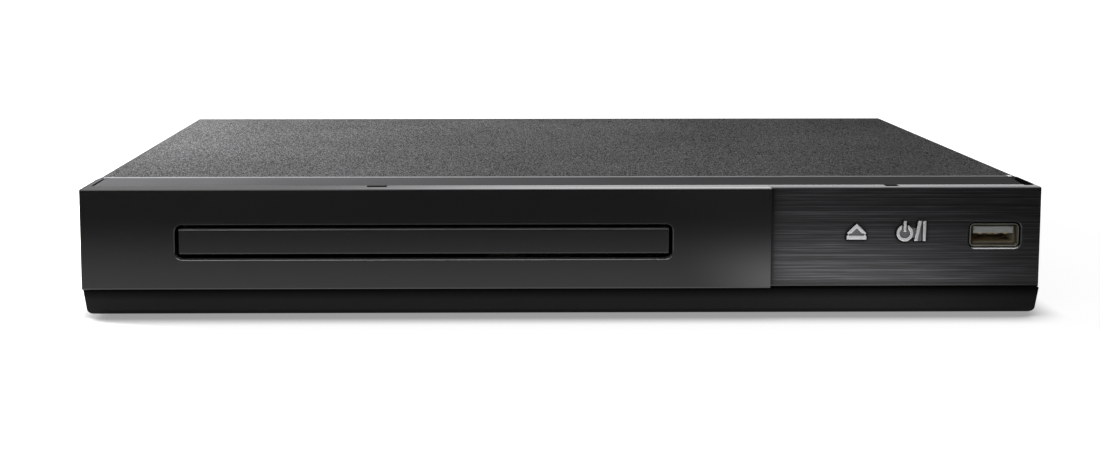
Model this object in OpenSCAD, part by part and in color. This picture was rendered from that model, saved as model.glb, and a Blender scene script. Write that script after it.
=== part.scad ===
// Compact DVD player with a sliding disc tray.
// X runs to the right, Y to the back, Z up. The origin is on the ground under the middle of the player.
// Inside the modules, Y is counted from the left fascia's front face; place() moves it to the origin.

/* [Case] */
// Width of the case
case_w = 270; // [268:1:300]
// Depth from the left fascia's face to the cover's rear edge
case_d = 195; // [195:1:230]
// Height of the case without its feet
case_h = 35.9; // [35.6:0.1:42]
// How far the rubber feet stand out below the case
foot_h = 1.2; // [1:0.1:4]
// Radius of a foot
foot_r = 7; // [5:0.5:10]
// Distance of the feet's middles from the case's sides
foot_inset = 20; // [12:1:40]
// Height of the lower case's walls
chin_h = 7.3; // [6:0.1:8]
// How far the chin stands back from the left fascia
chin_set = 1; // [0.4:0.1:1.1]
// How far each lower side wall leans in towards the bottom
chin_draft = 0.9; // [0:0.1:1.2]
// Rounding of the case's bottom edges
chin_r = 2; // [1:0.25:2.5]
// Wall of the lower case
wall = 2; // [1.6:0.1:2.2]
// Thickness of the steel cover
cover_t = 0.8; // [0.6:0.1:1]
// Rounding of the cover's long edges
cover_r = 0.85; // [0.85:0.05:2]
// Thickness of the rear panel
rear_t = 1; // [0.8:0.1:1.5]
// How far the rear panel stands in from the cover's rear edge
rear_set = 2; // [2:0.5:5]

/* [Front] */
// Depth of the front panel's top strip
strip_d = 24; // [20:0.5:32]
// How far the strip lies below the top cover
strip_drop = 0.1; // [0.1:0.1:0.6]
// Depth of the bright top return of the fascias
band_d = 7.5; // [6:0.5:10]
// Skin of the left fascia
gloss_t = 2; // [1.6:0.1:2.4]
// Skin of the right fascia
brushed_t = 1.2; // [0.8:0.1:1.3]
// How far the right fascia stands back from the left one
fascia_step = 2; // [1.5:0.1:2.4]
// Width of the right fascia
right_w = 76.4; // [71:0.2:79]
// Wall of the front panel behind the fascias
panel_t = 2; // [1.6:0.1:2.4]
// Rounding of the fascias' outer edges
fascia_r = 0.4; // [0.4:0.1:1.1]
// Width of the notch in the left band
left_notch_w = 5.7; // [3:0.1:8]
// Distance of the left band's notch from the case's left side
left_notch_inset = 82.65; // [65:0.05:105]
// Width of the notch in the right band
right_notch_w = 3.8; // [3:0.1:8]
// Distance of the right band's notch from the case's right side
right_notch_inset = 41.4; // [25:0.1:55]
// Depth of both notches
notch_d = 3; // [1:0.5:4]
// Width of the fine slits beside the strip
slit_w = 0.7; // [0.4:0.1:1]
// Distance of the slits from the case's sides
slit_inset = 2; // [1.5:0.1:4]

/* [Buttons] */
// Distance of the eject button from the case's right side
eject_inset = 52; // [49:0.1:55]
// Width of the eject symbol
eject_w = 5.6; // [5:0.1:7]
// Height of the eject symbol
eject_h = 4.5; // [4.4:0.05:6]
// Distance of the power button from the case's right side
power_inset = 36.5; // [34:0.1:37.5]
// Outer radius of the power symbol's ring
power_r = 2.34; // [2:0.02:2.6]
// Height of both button symbols' middle above the case's bottom
key_z = 23.3; // [22:0.1:24]
// How far the symbols stand out of the fascia
key_out = 0.5; // [0.2:0.1:1]
// Stroke of both buttons
key_travel = 0.6; // [0.3:0.05:0.8]
// Gap between a symbol and its opening
key_gap = 0.3; // [0.15:0.05:0.4]
// Depth of the sunk faces inside a symbol
key_sink = 0.45; // [0.2:0.05:0.8]

/* [USB socket] */
// Distance of the USB socket's middle from the case's right side
usb_inset = 12.75; // [11:0.25:17]
// Width of the socket's shell
usb_w = 13.1; // [12:0.1:14]
// Height of the socket's shell
usb_h = 5.7; // [5:0.1:6]
// Middle of the socket above the case's bottom
usb_z = 22.1; // [20.9:0.05:23]
// Corner radius of the shell
usb_corner = 0.85; // [0.5:0.05:0.9]
// Sheet of the shell
usb_sheet = 0.35; // [0.3:0.05:0.4]
// Depth of the socket
usb_d = 14; // [12:0.5:18]
// Gap between the shell and the fascia's opening
usb_gap = 0.8; // [0.6:0.05:1]
// How far the shell's mouth is flared outwards
usb_flare = 0.4; // [0.2:0.05:0.45]

/* [Tray opening] */
// Distance of the tray's middle line from the case's left side
tray_inset = 96.1; // [88:0.1:98]
// Gap beside the door in the left fascia's opening
door_side_gap = 1; // [0.4:0.1:1.5]
// Height of the opening
recess_h = 9.9; // [9.5:0.05:10.5]
// Lower edge of the opening above the case's bottom
recess_z = 15.85; // [15.85:0.05:17]
// Corner radius of the opening
recess_r = 2; // [1:0.25:3]
// How far the door reaches past the tray on each side
door_lap = 2.85; // [1:0.05:3.2]
// Height of the tray's door
door_h = 7.2; // [6.8:0.05:7.6]
// Thickness of the tray's door
door_t = 3; // [2.5:0.1:4]
// How far the door stands back from the fascia
door_set = 1; // [0.5:0.1:1.5]
// Gap under the door
door_gap = 1.35; // [0.85:0.05:1.5]

/* [Disc tray] */
// Width of the disc tray
tray_w = 132; // [129:0.5:133]
// Length of the tray that stays in the case when it is open
tray_stay = 29; // [28:0.5:33]
// Height of the disc tray
tray_h = 6.6; // [6.4:0.1:6.7]
// Radius of the well for a 12 cm disc
well_r = 60.5; // [60.25:0.25:61]
// Radius of the well for an 8 cm disc
small_well_r = 40.5; // [40.25:0.25:42]
// Depth of the large well
well_depth = 2.8; // [2.4:0.1:3]
// Depth of the small well below the large one
small_well_depth = 0.6; // [0.3:0.1:0.7]
// Solid rim in front of the disc
front_rim = 3.5; // [3:0.5:6]
// Width of the slot for the pickup, open at the tray's rear
slot_w = 34; // [33:0.5:38]
// How far the tray slides out
tray_travel = 135; // [110:1:136]
// Gap between the tray and its runners
slide_gap = 0.2; // [0.1:0.05:0.3]
// Gap between the tray and the frame's side walls
side_gap = 0.4; // [0.2:0.1:1]

/* [Loading drive] */
// Module of the rack and the gear that drives it
rack_module = 1; // [0.9:0.05:1]
// Teeth of the rack gear
rack_teeth = 18; // [16:1:18]
// Module of the gear pair
pair_module = 0.75; // [0.7:0.05:0.75]
// Teeth of the drive gear's large wheel
wheel_teeth = 36; // [32:1:36]
// Teeth of the pulley's gear
pinion_teeth = 14; // [13:1:15]
// Play between meshing teeth
backlash = 0.2; // [0.1:0.05:0.3]
// Radius of the large pulley
pulley_r = 12; // [9:0.5:12]
// Radius of the motor's pulley
motor_pulley_r = 2.6; // [2.2:0.1:4]
// Side of the square belt
belt_t = 1; // [0.8:0.1:1.2]
// Radius of the loading motor
motor_r = 12; // [10:0.5:12]
// Radius of the fixed gear axles
axle_r = 1.5; // [1.2:0.1:2]
// Radial running gap on axles, shafts and rods
run_gap = 0.06; // [0.03:0.01:0.09]
// Stroke of the cam slider
cam_travel = 12; // [10:0.5:14]
// Play between the tray's end stops and the frame's front hooks
stop_play = 0.2; // [0.1:0.05:0.5]

/* [Traverse] */
// Angle by which the lift frame tips down
tilt = 3.5; // [3:0.1:3.6]
// Distance from the guide rods' end to the tipping hinge
hinge_back = 13; // [12:0.5:16]
// Radius of the lift frame's hinge pins
trunnion_r = 2; // [1.5:0.1:2.4]
// Radius of the lift frame's cam pins
cam_pin_r = 1.2; // [1:0.1:1.5]
// Travel of the pickup along its rods
sled_travel = 34; // [30:0.5:35]
// Radius of the guide rods
rod_r = 1.5; // [1.2:0.1:1.6]
// Distance of each guide rod from the loader's middle
rod_x = 33; // [32.5:0.1:34]
// Radius of the lead screw
screw_r = 1.25; // [1:0.05:1.4]
// Radius of the turntable
turntable_r = 15; // [14:0.25:15.5]
// Radius of the hub that centres the disc
hub_r = 7.4; // [7.2:0.05:7.45]
// Focus stroke of the lens, each way
focus = 0.4; // [0.2:0.05:0.5]
// Thickness of the traverse deck
deck_t = 1.2; // [1:0.1:1.4]
// Thickness of the clamper bridge
bridge_t = 1; // [0.8:0.1:1.2]
// Radial gap of the rubber bushes and the spindle motor in the deck
seat_gap = 0.05; // [0.02:0.01:0.1]

/* [Electronics] */
// Thickness of the circuit boards
board_t = 1.6; // [1.2:0.1:1.6]
// Height of the boards' underside above the floor
board_lift = 4.8; // [4:0.2:6]
// Outer radius of a jack's sleeve
jack_r = 4.15; // [4:0.05:4.2]
// Length of a jack's sleeve
jack_l = 8.5; // [7:0.5:10]
// Spacing of the jacks
jack_pitch = 14; // [12:0.5:15]
// Radius of each lobe of the mains inlet's recess
inlet_r = 3.75; // [3.6:0.05:4]
// Spacing of the mains inlet's pins
inlet_pitch = 8.6; // [8.6:0.1:9]
// Depth of the mains inlet's recess
inlet_d = 12; // [10:0.5:13]
// Distance of the mains inlet from the power board's side
inlet_inset = 19; // [14:0.5:22]
// Distance from the mains inlet to the first jack
jack_reach = 68; // [64:0.5:72]
// Width of the power board
power_w = 43; // [40:0.5:44]

/* [Hidden] */
$fn = 48;
eps = 0.01;

// heights above the ground
top_z = foot_h + case_h;
strip_z = top_z - strip_drop;
floor_z = foot_h + wall;
chin_z = foot_h + chin_h;
cover_in_z = top_z - cover_t;
tray_z = foot_h + recess_z + door_gap - 0.1;
tray_top = tray_z + tray_h;
well_z = tray_top - well_depth;
corridor_h = 2.4;
deck_z = tray_z - 8.4;
frame_t = 1.4;
pulley_h = 1.8;
pulley_z = tray_z - 0.3 - pulley_h;
table_z = pulley_z - 1.6;
axle_top = tray_z - slide_gap;
pin_z = tray_z - 4;
disc_z = tray_top - 0.4;
bridge_z = tray_top + 2.6;
board_z = floor_z + board_lift;
board_top = board_z + board_t;

// places across the width
tray_x = tray_inset - case_w / 2;
split_x = case_w / 2 - right_w;
eject_x = case_w / 2 - eject_inset;
power_x = case_w / 2 - power_inset;
usb_x = case_w / 2 - usb_inset;
left_notch_x = left_notch_inset - case_w / 2;
right_notch_x = case_w / 2 - right_notch_inset;
door_w = tray_w + 2 * door_lap;
recess_w = door_w + 2 * door_side_gap;

// depths behind the left fascia's face
panel_y = fascia_step + brushed_t;
panel_back = panel_y + panel_t;
rear_y = case_d - rear_set - rear_t;
tray_y = door_set + door_t;
tray_l = tray_travel + tray_stay;
disc_y = tray_y + front_rim + well_r;
lens_r = 24;
lens_y = disc_y + lens_r;
pickup_l = 26;
rod_end = lens_y + pickup_l + sled_travel;
hinge_y = rod_end + hinge_back;
drive_y = tray_y + 26;
frame_y = tray_y + 5;
frame_back = max(tray_y + tray_l + 4, hinge_y + 7);
cam_y = disc_y - 21.2;
lift_y = disc_y - 17;
total_d = rear_y + rear_t + jack_l + 1;
hem_d = 5;
hem_r = cover_t;
lap_d = 6;

// loader widths, from its middle
frame_in = tray_w / 2 + side_gap;
frame_wall = 2.5;
frame_out = frame_in + frame_wall;
floor_rim = 7.3;
frame_open = frame_in - floor_rim;
ledge_w = 4.5;
ledge_t = 1.4;
loader_side = tray_x + frame_out;
hook_l = 10;
hook_y = frame_y + 1;
stop_y = hook_y + hook_l + tray_travel + stop_play;
stop_x = tray_w / 2 - 5;

// key levers and the front board
key_at = foot_h + key_z;
lever_y = panel_back + 0.3;
lever_t = 1.2;
stem_l = 1.5;
key_rest = 0.1;
switch_y = lever_y + lever_t + stem_l + key_travel + key_rest;
usb_at = foot_h + usb_z;
front_board_top = usb_at - usb_h / 2;
front_board_z = front_board_top - board_t;
front_board_x = [loader_side + 8, case_w / 2 - 3.4];
front_board_y = [panel_back + 2.4, 34];

// gear layout, seen from above
rack_pitch_r = rack_module * rack_teeth / 2;
wheel_pitch_r = pair_module * wheel_teeth / 2;
pinion_pitch_r = pair_module * pinion_teeth / 2;
gear_dx = tray_w / 2 - 25;
rack_x = gear_dx + rack_pitch_r;
pinion_dir = 200;
pinion_at = [gear_dx, drive_y]
  + (wheel_pitch_r + pinion_pitch_r) * [cos(pinion_dir), sin(pinion_dir)];
motor_at = [-23.1, drive_y - 6];
wheel_h = 3;
rack_gear_h = 2;

// traverse layout, from the loader's middle
rod_z = tray_z - 5.4;
rod_y = [disc_y + 14, rod_end];
screw_x = rod_x + 6;
screw_z = rod_z + 0.6;
sled_motor_r = 3.8;
lift_bar = 4;
lift_half = max(frame_open - 6.1, screw_x + sled_motor_r + lift_bar + 1);
lift_z = tray_z - 5.8;
lift_h = 3.5;
bush_r = 4;
bush_inset = 10.5;
bush_x = lift_half - bush_inset;
bush_y = [disc_y - 8, rod_end + 4];
bush_z = lift_z + 1.2;
bush_h = 4;
neck_r = 2.8;
plate_z = tray_z - 3.4;
pin_x = 24;
pin_drop = (hinge_y - cam_y) * sin(tilt);

// electronics layout
power_x_side = case_w / 2 - 4;
main_x = [loader_side + 6, power_x_side - power_w - 4];
main_mid = (main_x[0] + main_x[1]) / 2;
main_y = [disc_y - 2, rear_y - 2];
power_y = main_y;
inlet_x = power_x_side - inlet_inset;
jack_x = inlet_x - jack_reach;
jack_z = board_top + 8;
jack_spots = [for (i = [0:2]) jack_x + i * jack_pitch];
inlet_z = board_top + 7.9;
inlet_flange = 1.4;
inlet_box = [20, 12];
ribbon_x = main_x[1] - 24;
ribbon_w = 16;
// the receiver and the lamp share the room left between the loader and the eject lever
spare_w = eject_x - loader_side - 26;
ir_x = loader_side + 11.5 + spare_w / 6;
led_x = eject_x - 7.4 - 0.8 * spare_w;
transformer_at = [power_x_side - 20, rear_y - 80];
transformer_core = [24, 18, 14];
transformer_limb = 5;
transformer_yoke = 3;
winding_r = 6.9;
sink_at = [power_x_side - 38, rear_y - 86];
sink_size = [1.6, 24, 16];
fin_l = 2.6;
fin_t = 1.2;
fuse_at = [power_x_side - 12, rear_y - 36];
fuse_l = 20;
decoder_w = 20;
memory_w = 12;
sound_w = 8;
store_w = 9;

// ---- helpers ----

// a block between two opposite corners
module blk(a, b) translate(a) cube(b - a);

// an outline in X and Z, extruded between two depths
module along_y(y0, y1) translate([0, y1, 0]) rotate([90, 0, 0]) linear_extrude(y1 - y0) children();

// an outline in Y and Z, extruded between two sides
module along_x(x0, x1) translate([x0, 0, 0]) rotate([90, 0, 90]) linear_extrude(x1 - x0) children();

// a round bar along Y or along X
module rod_y_dir(r, p, l) translate(p) rotate([-90, 0, 0]) cylinder(r = r, h = l);
module rod_x_dir(r, p, l) translate(p) rotate([0, 90, 0]) cylinder(r = r, h = l);

module tube(r_out, r_in, h) difference() {
  cylinder(r = r_out, h = h);
  translate([0, 0, -1]) cylinder(r = r_in, h = h + 2);
}

// everything is drawn from the fascia's face and moved over the origin
module place() translate([0, -total_d / 2, 0]) children();

// loader pieces are drawn from the tray's middle line
module loader() place() translate([tray_x, 0, 0]) children();

function arc(c, r, a0, a1, n) = [for (i = [0:n])
  let (a = a0 + (a1 - a0) * i / n) c + r * [cos(a), sin(a)]];

// a rounded rectangle between two corners
module rrect(a, b, r) polygon(concat(
  arc([b[0] - r, b[1] - r], r, 0, 90, 6), arc([a[0] + r, b[1] - r], r, 90, 180, 6),
  arc([a[0] + r, a[1] + r], r, 180, 270, 6), arc([b[0] - r, a[1] + r], r, 270, 360, 6)));

// ---- involute gears ----

pressure = 20;
function inv_deg(a) = tan(a) * 180 / PI - a;
function flank(r, rb, rp, half) =
  half + inv_deg(acos(rb / rp)) - inv_deg(acos(min(1, rb / r)));
function on_circle(r, a) = r * [cos(a), sin(a)];

// a spur gear with one tooth pointing along +X
module gear2d(m, teeth) {
  rp = m * teeth / 2;
  rb = rp * cos(pressure);
  ra = rp + 0.85 * m;
  rr = rp - 1.1 * m;
  half = (PI * m / 2 - backlash) / 2 / rp * 180 / PI;
  steps = 4;
  radii = [for (k = [0:steps]) max(rb, rr) + (ra - max(rb, rr)) * k / steps];
  polygon([for (t = [0:teeth - 1]) each concat(
    [on_circle(rr, 360 * t / teeth - flank(radii[0], rb, rp, half))],
    [for (k = [0:steps]) on_circle(radii[k], 360 * t / teeth - flank(radii[k], rb, rp, half))],
    [for (k = [steps:-1:0]) on_circle(radii[k], 360 * t / teeth + flank(radii[k], rb, rp, half))],
    [on_circle(rr, 360 * t / teeth + flank(radii[0], rb, rp, half))])]);
}

// a rack along Y whose teeth point to -X, with its pitch line on X = 0 and a gap at Y = 0
module rack2d(m, back, y0, y1) {
  pitch = PI * m;
  half = (pitch / 2 - backlash) / 2;
  tip = 0.85 * m;
  root = 1.15 * m;
  first = ceil(y0 / pitch);
  last = floor(y1 / pitch) - 1;
  polygon(concat(
    [[root, y0]],
    [for (k = [first:last]) each [
      [root, (k + 0.5) * pitch - half - root * tan(pressure)],
      [-tip, (k + 0.5) * pitch - half + tip * tan(pressure)],
      [-tip, (k + 0.5) * pitch + half - tip * tan(pressure)],
      [root, (k + 0.5) * pitch + half + root * tan(pressure)]]],
    [[root, y1], [back, y1], [back, y0]]));
}

// ---- case ----

// front view of the lower case, with leaning sides and rounded bottom edges
module case_outline(inset) {
  half = case_w / 2 - 0.1 - inset;
  low = half - chin_draft;
  r = max(chin_r - inset, 0.2);
  polygon(concat(
    [[half, chin_z + inset], [-half, chin_z + inset]],
    arc([-low + r, foot_h + inset + r], r, 180, 270, 5),
    arc([low - r, foot_h + inset + r], r, 270, 360, 5)));
}

// side view of the lower case, with rounded front and rear bottom edges
module case_side(y0, y1, z1) polygon(concat(
  [[y1, z1], [y0, z1]],
  arc([y0 + chin_r, foot_h + chin_r], chin_r, 180, 270, 5),
  arc([y1 - chin_r, foot_h + chin_r], chin_r, 270, 360, 5)));

loader_posts = [for (x = [-1, 1], y = [frame_y + 6, frame_back - 5]) [tray_x + x * (frame_in - 3.4), y]];
board_posts = concat(
  [for (x = main_x, y = main_y) [x + (x == main_x[0] ? 4 : -4), y + (y == main_y[0] ? 4 : -16)]],
  [for (x = [power_x_side - power_w + 4, power_x_side - 4], y = power_y)
    [x, y + (y == power_y[0] ? 4 : -22)]]);
front_posts = [for (x = [front_board_x[0] + 4, eject_x - 18, front_board_x[1] - 4])
  [x, front_board_y[1] - 4]];
foot_spots = [for (x = [-1, 1], y = [foot_inset + 4, case_d - foot_inset])
  [x * (case_w / 2 - foot_inset), y]];
post_r = 3.2;
pilot_r = 1.1;

module post(at, z) translate([at[0], at[1], floor_z - eps]) cylinder(r = post_r, h = z - floor_z + eps);

module pilot(at, z) translate([at[0], at[1], floor_z + 1]) cylinder(r = pilot_r, h = z);

module bottom_case() color("#232425") place() difference() {
  union() {
    difference() {
      intersection() {
        along_y(chin_set, case_d) case_outline(0);
        along_x(-case_w, case_w) case_side(chin_set, case_d, chin_z);
      }
      along_y(chin_set + wall, case_d - wall) case_outline(wall);
    }
    for (p = loader_posts) post(p, deck_z - frame_t);
    for (p = board_posts) post(p, board_z);
    for (p = front_posts) post(p, front_board_z);
    // stiffening ribs between the loader and the boards
    blk([loader_side + 0.8, 40, floor_z - eps], [loader_side + 2, rear_y - 6, floor_z + 2.4]);
    blk([-case_w / 2 + 9, 40, floor_z - eps], [-case_w / 2 + 10.2, rear_y - 6, floor_z + 3]);
  }
  for (p = concat(loader_posts, board_posts)) pilot(p, 40);
  for (p = front_posts) pilot(p, 40);
  for (p = foot_spots) translate([p[0], p[1], foot_h - 1]) cylinder(r = foot_r - 1.5, h = 1.8);
  // cooling slots under the power board
  for (i = [0:11], s = [0, 1])
    blk([power_x_side - 36 + s * 17, power_y[0] + 16 + i * 6, 0],
        [power_x_side - 22 + s * 17, power_y[0] + 18 + i * 6, floor_z + 1]);
}

module rubber_feet() color("#1b1b1c") place() for (p = foot_spots) translate([p[0], p[1], 0]) {
  cylinder(r1 = foot_r - 0.4, r2 = foot_r, h = foot_h);
  translate([0, 0, foot_h - eps]) cylinder(r = foot_r - 1.6, h = 0.8);
}

// front view of the folded cover: a top plate with a flange down each side
module cover_outline() {
  half = case_w / 2;
  low = chin_z + 0.1;
  in_r = cover_r - cover_t;
  polygon(concat(
    [[half, low]],
    arc([half - cover_r, top_z - cover_r], cover_r, 0, 90, 5),
    arc([-half + cover_r, top_z - cover_r], cover_r, 90, 180, 5),
    [[-half, low], [-half + cover_t, low]],
    arc([-half + cover_r, top_z - cover_r], in_r, 180, 90, 3),
    arc([half - cover_r, top_z - cover_r], in_r, 90, 0, 3),
    [[half - cover_t, low]]));
}

tab_spots = [-case_w / 2 + 16, loader_side + 0.2, case_w / 2 - 43];
tab_w = 12;
tab_h = 8;
tab_screw_z = cover_in_z - tab_h + 3.6;
screw_hole_r = 1.6;

module cover_tabs_and_hem() {
  // the front edge is folded under into a round hem
  along_x(-case_w / 2 + cover_r + 0.6, case_w / 2 - cover_r - 0.6) polygon(concat(
    [[strip_d + hem_r + 0.2, top_z]],
    arc([strip_d + hem_r, top_z - hem_r], hem_r, 90, 270, 8),
    [[strip_d + hem_d, top_z - 2 * hem_r], [strip_d + hem_d, cover_in_z + 0.1],
     [strip_d + hem_r + 0.2, cover_in_z + 0.1]]));
  for (x = tab_spots)
    along_x(x - tab_w / 2, x + tab_w / 2) polygon([
      [rear_y + rear_t, cover_in_z - tab_h], [rear_y + rear_t + cover_t, cover_in_z - tab_h],
      [rear_y + rear_t + cover_t, cover_in_z + 0.1], [rear_y + rear_t, cover_in_z + 0.1]]);
}

module top_cover() color("#3a3b3d") place() difference() {
  union() {
    along_y(strip_d + hem_r, case_d) cover_outline();
    cover_tabs_and_hem();
  }
  for (x = tab_spots)
    rod_y_dir(screw_hole_r, [x, rear_y, tab_screw_z], 6);
}

module cover_screws() color("#8d8f92") place() for (x = tab_spots)
  translate([x, rear_y + rear_t + cover_t, tab_screw_z]) rotate([90, 0, 0]) {
    translate([0, 0, -1.1]) difference() {
      cylinder(r1 = 2.2, r2 = 2.8, h = 1.1);
      for (a = [0, 90]) rotate(a) translate([-1.4, -0.3, -1]) cube([2.8, 0.6, 1.6]);
    }
    cylinder(r = screw_hole_r - 0.2, h = cover_t + rear_t + 3);
  }

vent_w = 1.6;
vent_h = 13;
vent_pitch = 4;
vent_x = 34 - case_w / 2;
rear_half = case_w / 2 - cover_t - 0.5;
low_half = case_w / 2 - wall - chin_draft - 0.4;
jack_hole_r = jack_r + 1;
module rear_panel() color("#2b2c2e") place() difference() {
  union() {
    blk([-rear_half, rear_y, chin_z], [rear_half, rear_y + rear_t, cover_in_z - 0.1]);
    blk([-low_half, rear_y, floor_z], [low_half, rear_y + rear_t, chin_z + eps]);
  }
  for (x = jack_spots) rod_y_dir(jack_hole_r, [x, rear_y - 1, jack_z], rear_t + 2);
  along_y(rear_y - 1, rear_y + 3)
    translate([inlet_x, inlet_z]) square(inlet_box + [0.4, 0.4], center = true);
  for (x = tab_spots)
    rod_y_dir(screw_hole_r, [x, rear_y - 1, tab_screw_z], 4);
  // cooling slots
  for (i = [0:21]) translate([vent_x + i * vent_pitch, 0, 0])
    blk([0, rear_y - 1, chin_z + 5], [vent_w, rear_y + rear_t + 1, chin_z + 5 + vent_h]);
}

// ---- front ----

// the opening of the tray, grown by g
module recess2d(g) rrect(
  [tray_x - recess_w / 2 - g, foot_h + recess_z - g],
  [tray_x + recess_w / 2 + g, foot_h + recess_z + recess_h + g], recess_r + g);

// the socket's outline, grown by g
module usb2d(g) translate([usb_x, usb_at])
  rrect([-usb_w / 2 - g, -usb_h / 2 - g], [usb_w / 2 + g, usb_h / 2 + g], usb_corner + g);

module lever_window(x) translate([x, key_at - 0.1]) square([11.6, 8.6], center = true);

module front_panel() color("#2e2f31") place() {
  inner_z = strip_z - panel_t;
  side = case_w / 2;
  difference() {
    union() {
      // wall behind the fascias, down behind the chin
      blk([-side, panel_y, chin_z], [side, panel_back, strip_z - panel_t]);
      blk([-low_half, panel_y, floor_z + 0.2], [low_half, panel_back, chin_z + eps]);
      // top strip, with the seat for the fascias' returns
      along_x(-side, side) polygon([
        [panel_y, strip_z - brushed_t], [band_d, strip_z - brushed_t], [band_d, strip_z],
        [strip_d, strip_z], [strip_d, strip_z - panel_t], [panel_y, strip_z - panel_t]]);
      // side cheeks
      for (s = [-1, 1]) translate([s * (side - panel_t / 2) - panel_t / 2, 0, 0])
        blk([0, panel_y, chin_z + 0.1], [panel_t, strip_d, strip_z - panel_t + eps]);
      // lap under the top cover's hem, and inside its flanges
      along_x(-side + 4, side - 4) polygon([
        [strip_d - 4, strip_z - panel_t - 1.2], [strip_d + lap_d, strip_z - panel_t - 1.2],
        [strip_d + lap_d, top_z - 2 * hem_r - 0.05], [strip_d - eps, top_z - 2 * hem_r - 0.05],
        [strip_d - 4, strip_z - panel_t + eps]]);
      // upright ribs that stiffen the wall
      for (x = [loader_side + 8.6, split_x + 6, usb_x - 13.75])
        blk([x, panel_back - eps, front_board_top + 3], [x + 1.2, panel_back + 8, inner_z + eps]);
    }
    along_y(panel_y - 1, panel_back + 1) recess2d(0.4);
    along_y(panel_y - 1, panel_back + 1) usb2d(0.3);
    along_y(panel_y - 1, panel_back + 1) lever_window(eject_x);
    along_y(panel_y - 1, panel_back + 1) lever_window(power_x);
    // windows for the infrared receiver and the standby lamp
    rod_y_dir(3.2, [ir_x, panel_y - 1, usb_at + 1], panel_t + 2);
    rod_y_dir(1.7, [led_x, panel_y - 1, usb_at - 0.4], panel_t + 2);
    // fine slits beside the strip, each with a dot at its rear end
    for (s = [-1, 1]) {
      translate([s * (side - slit_inset), 0, strip_z - 0.5]) linear_extrude(1) polygon([
        [s * slit_w / 2, band_d - eps], [s * slit_w / 2, strip_d - 1.6],
        [-s * slit_w / 2, strip_d - 1.6], [-(s + 1) * 0.6 - s * slit_w / 2, band_d - eps]]);
      translate([s * (side - slit_inset - 0.7), strip_d - 1, strip_z - 0.5]) cylinder(r = 0.45, h = 1);
    }
  }
}

// side view of a fascia: its skin and its return over the strip's seat
module fascia_side(y0, skin) polygon(concat(
  arc([y0 + 0.5, chin_z + 0.5], 0.5, 270, 180, 3),
  arc([y0 + fascia_r, strip_z - fascia_r], fascia_r, 180, 90, 5),
  [[band_d, strip_z], [band_d, strip_z - brushed_t],
   [y0 + skin, strip_z - brushed_t], [y0 + skin, chin_z]]));

// a notch in a fascia's return
module notch(x, w)
  blk([x - w / 2, band_d - notch_d, strip_z - 0.5], [x + w / 2, band_d + 1, strip_z + 1]);

corner_notch = [0.8, 3.4];
rim_w = 2;
module left_fascia() color("#0d0d0e") place() difference() {
  union() {
    along_x(-case_w / 2, split_x) fascia_side(0, gloss_t);
    // rim behind the skin, round its edge and round the tray's opening
    difference() {
      blk([-case_w / 2, gloss_t - eps, chin_z], [split_x, panel_y, strip_z - brushed_t + eps]);
      difference() {
        blk([rim_w - case_w / 2, gloss_t - 1, chin_z + rim_w],
            [split_x - rim_w, panel_y + 1, strip_z - brushed_t - 1.6]);
        along_y(gloss_t - 2, panel_y + 2) recess2d(1.6);
      }
    }
  }
  along_y(-1, panel_y + 1) recess2d(0);
  // small lead-in round the opening
  hull() {
    along_y(-0.3, -0.2) recess2d(0.4);
    along_y(0.1, 0.2) recess2d(0);
  }
  notch(left_notch_x, left_notch_w);
}

module right_fascia() color("#303133") place() difference() {
  along_x(split_x, case_w / 2) fascia_side(fascia_step, brushed_t);
  along_y(0, panel_y + 1) usb2d(usb_gap);
  hull() {
    along_y(fascia_step - 0.3, fascia_step - 0.2) usb2d(usb_gap + 0.5);
    along_y(fascia_step + 0.2, fascia_step + 0.3) usb2d(usb_gap);
  }
  along_y(0, panel_y + 1) offset(r = key_gap) eject_outline();
  along_y(0, panel_y + 1) offset(r = key_gap) power_outline();
  notch(right_notch_x, right_notch_w);
  blk([case_w / 2 - corner_notch[1], band_d - 1.5, strip_z - 0.5],
      [case_w / 2 - corner_notch[0], band_d + 1, strip_z + 1]);
}

// ---- buttons ----

eject_bar = 1.05;
eject_nick = 0.7;
eject_rib = 1.25;
eject_step = 0.3;

// a roof over a bar, joined by a slightly narrower neck
module eject_outline() translate([eject_x, key_at - eject_h / 2]) {
  half = eject_w / 2;
  eave = eject_bar + eject_nick;
  translate([-half, 0]) square([eject_w, eject_bar]);
  translate([eject_step - half, 0]) square([eject_w - 2 * eject_step, eave + eps]);
  polygon([[-half, eave], [half, eave], [0, eject_h]]);
}

// the sunk triangle under the roof
module eject_sunk() translate([eject_x, key_at - eject_h / 2]) {
  half = eject_w / 2 - 2 * eject_step;
  eave = eject_bar + eject_nick;
  inner = (eject_w / 2) * (1 - eject_rib / (eject_h - eave));
  polygon([[-half, eject_bar], [half, eject_bar], [half, eave], [inner, eave],
           [0, eject_h - eject_rib], [-inner, eave], [-half, eave]]);
}

// the power symbol is drawn from the middle of its ring
ring_w = 0.87;
ring_open = 1.66;
stick_w = 0.8;
mark_top = 3.44;
mark_low = -2.2;
slash_x = 2.62;
slash_w = 0.96;
slash_lean = 1.15;
bar_x = 5.1;
bar_w = 0.84;
groove_w = 0.32;
web_half = 1.4;
ring_at = [power_x - 1.85, key_at - 0.5];

module ring_mark() difference() {
  circle(r = power_r);
  circle(r = power_r - ring_w);
  translate([-ring_open / 2, 0]) square([ring_open, power_r + 1]);
}

module stick_mark() translate([-stick_w / 2, 0.4]) square([stick_w, mark_top - 0.4]);

module slash_mark() polygon([
  [slash_x, mark_low], [slash_x + slash_w, mark_low],
  [slash_x + slash_w + slash_lean, mark_top], [slash_x + slash_lean, mark_top]]);

module bar_mark() translate([bar_x, mark_low]) square([bar_w, mark_top - mark_low]);

// everything that stands at the key's full height
module power_marks() translate(ring_at) {
  ring_mark();
  stick_mark();
  slash_mark();
  bar_mark();
}

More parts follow.
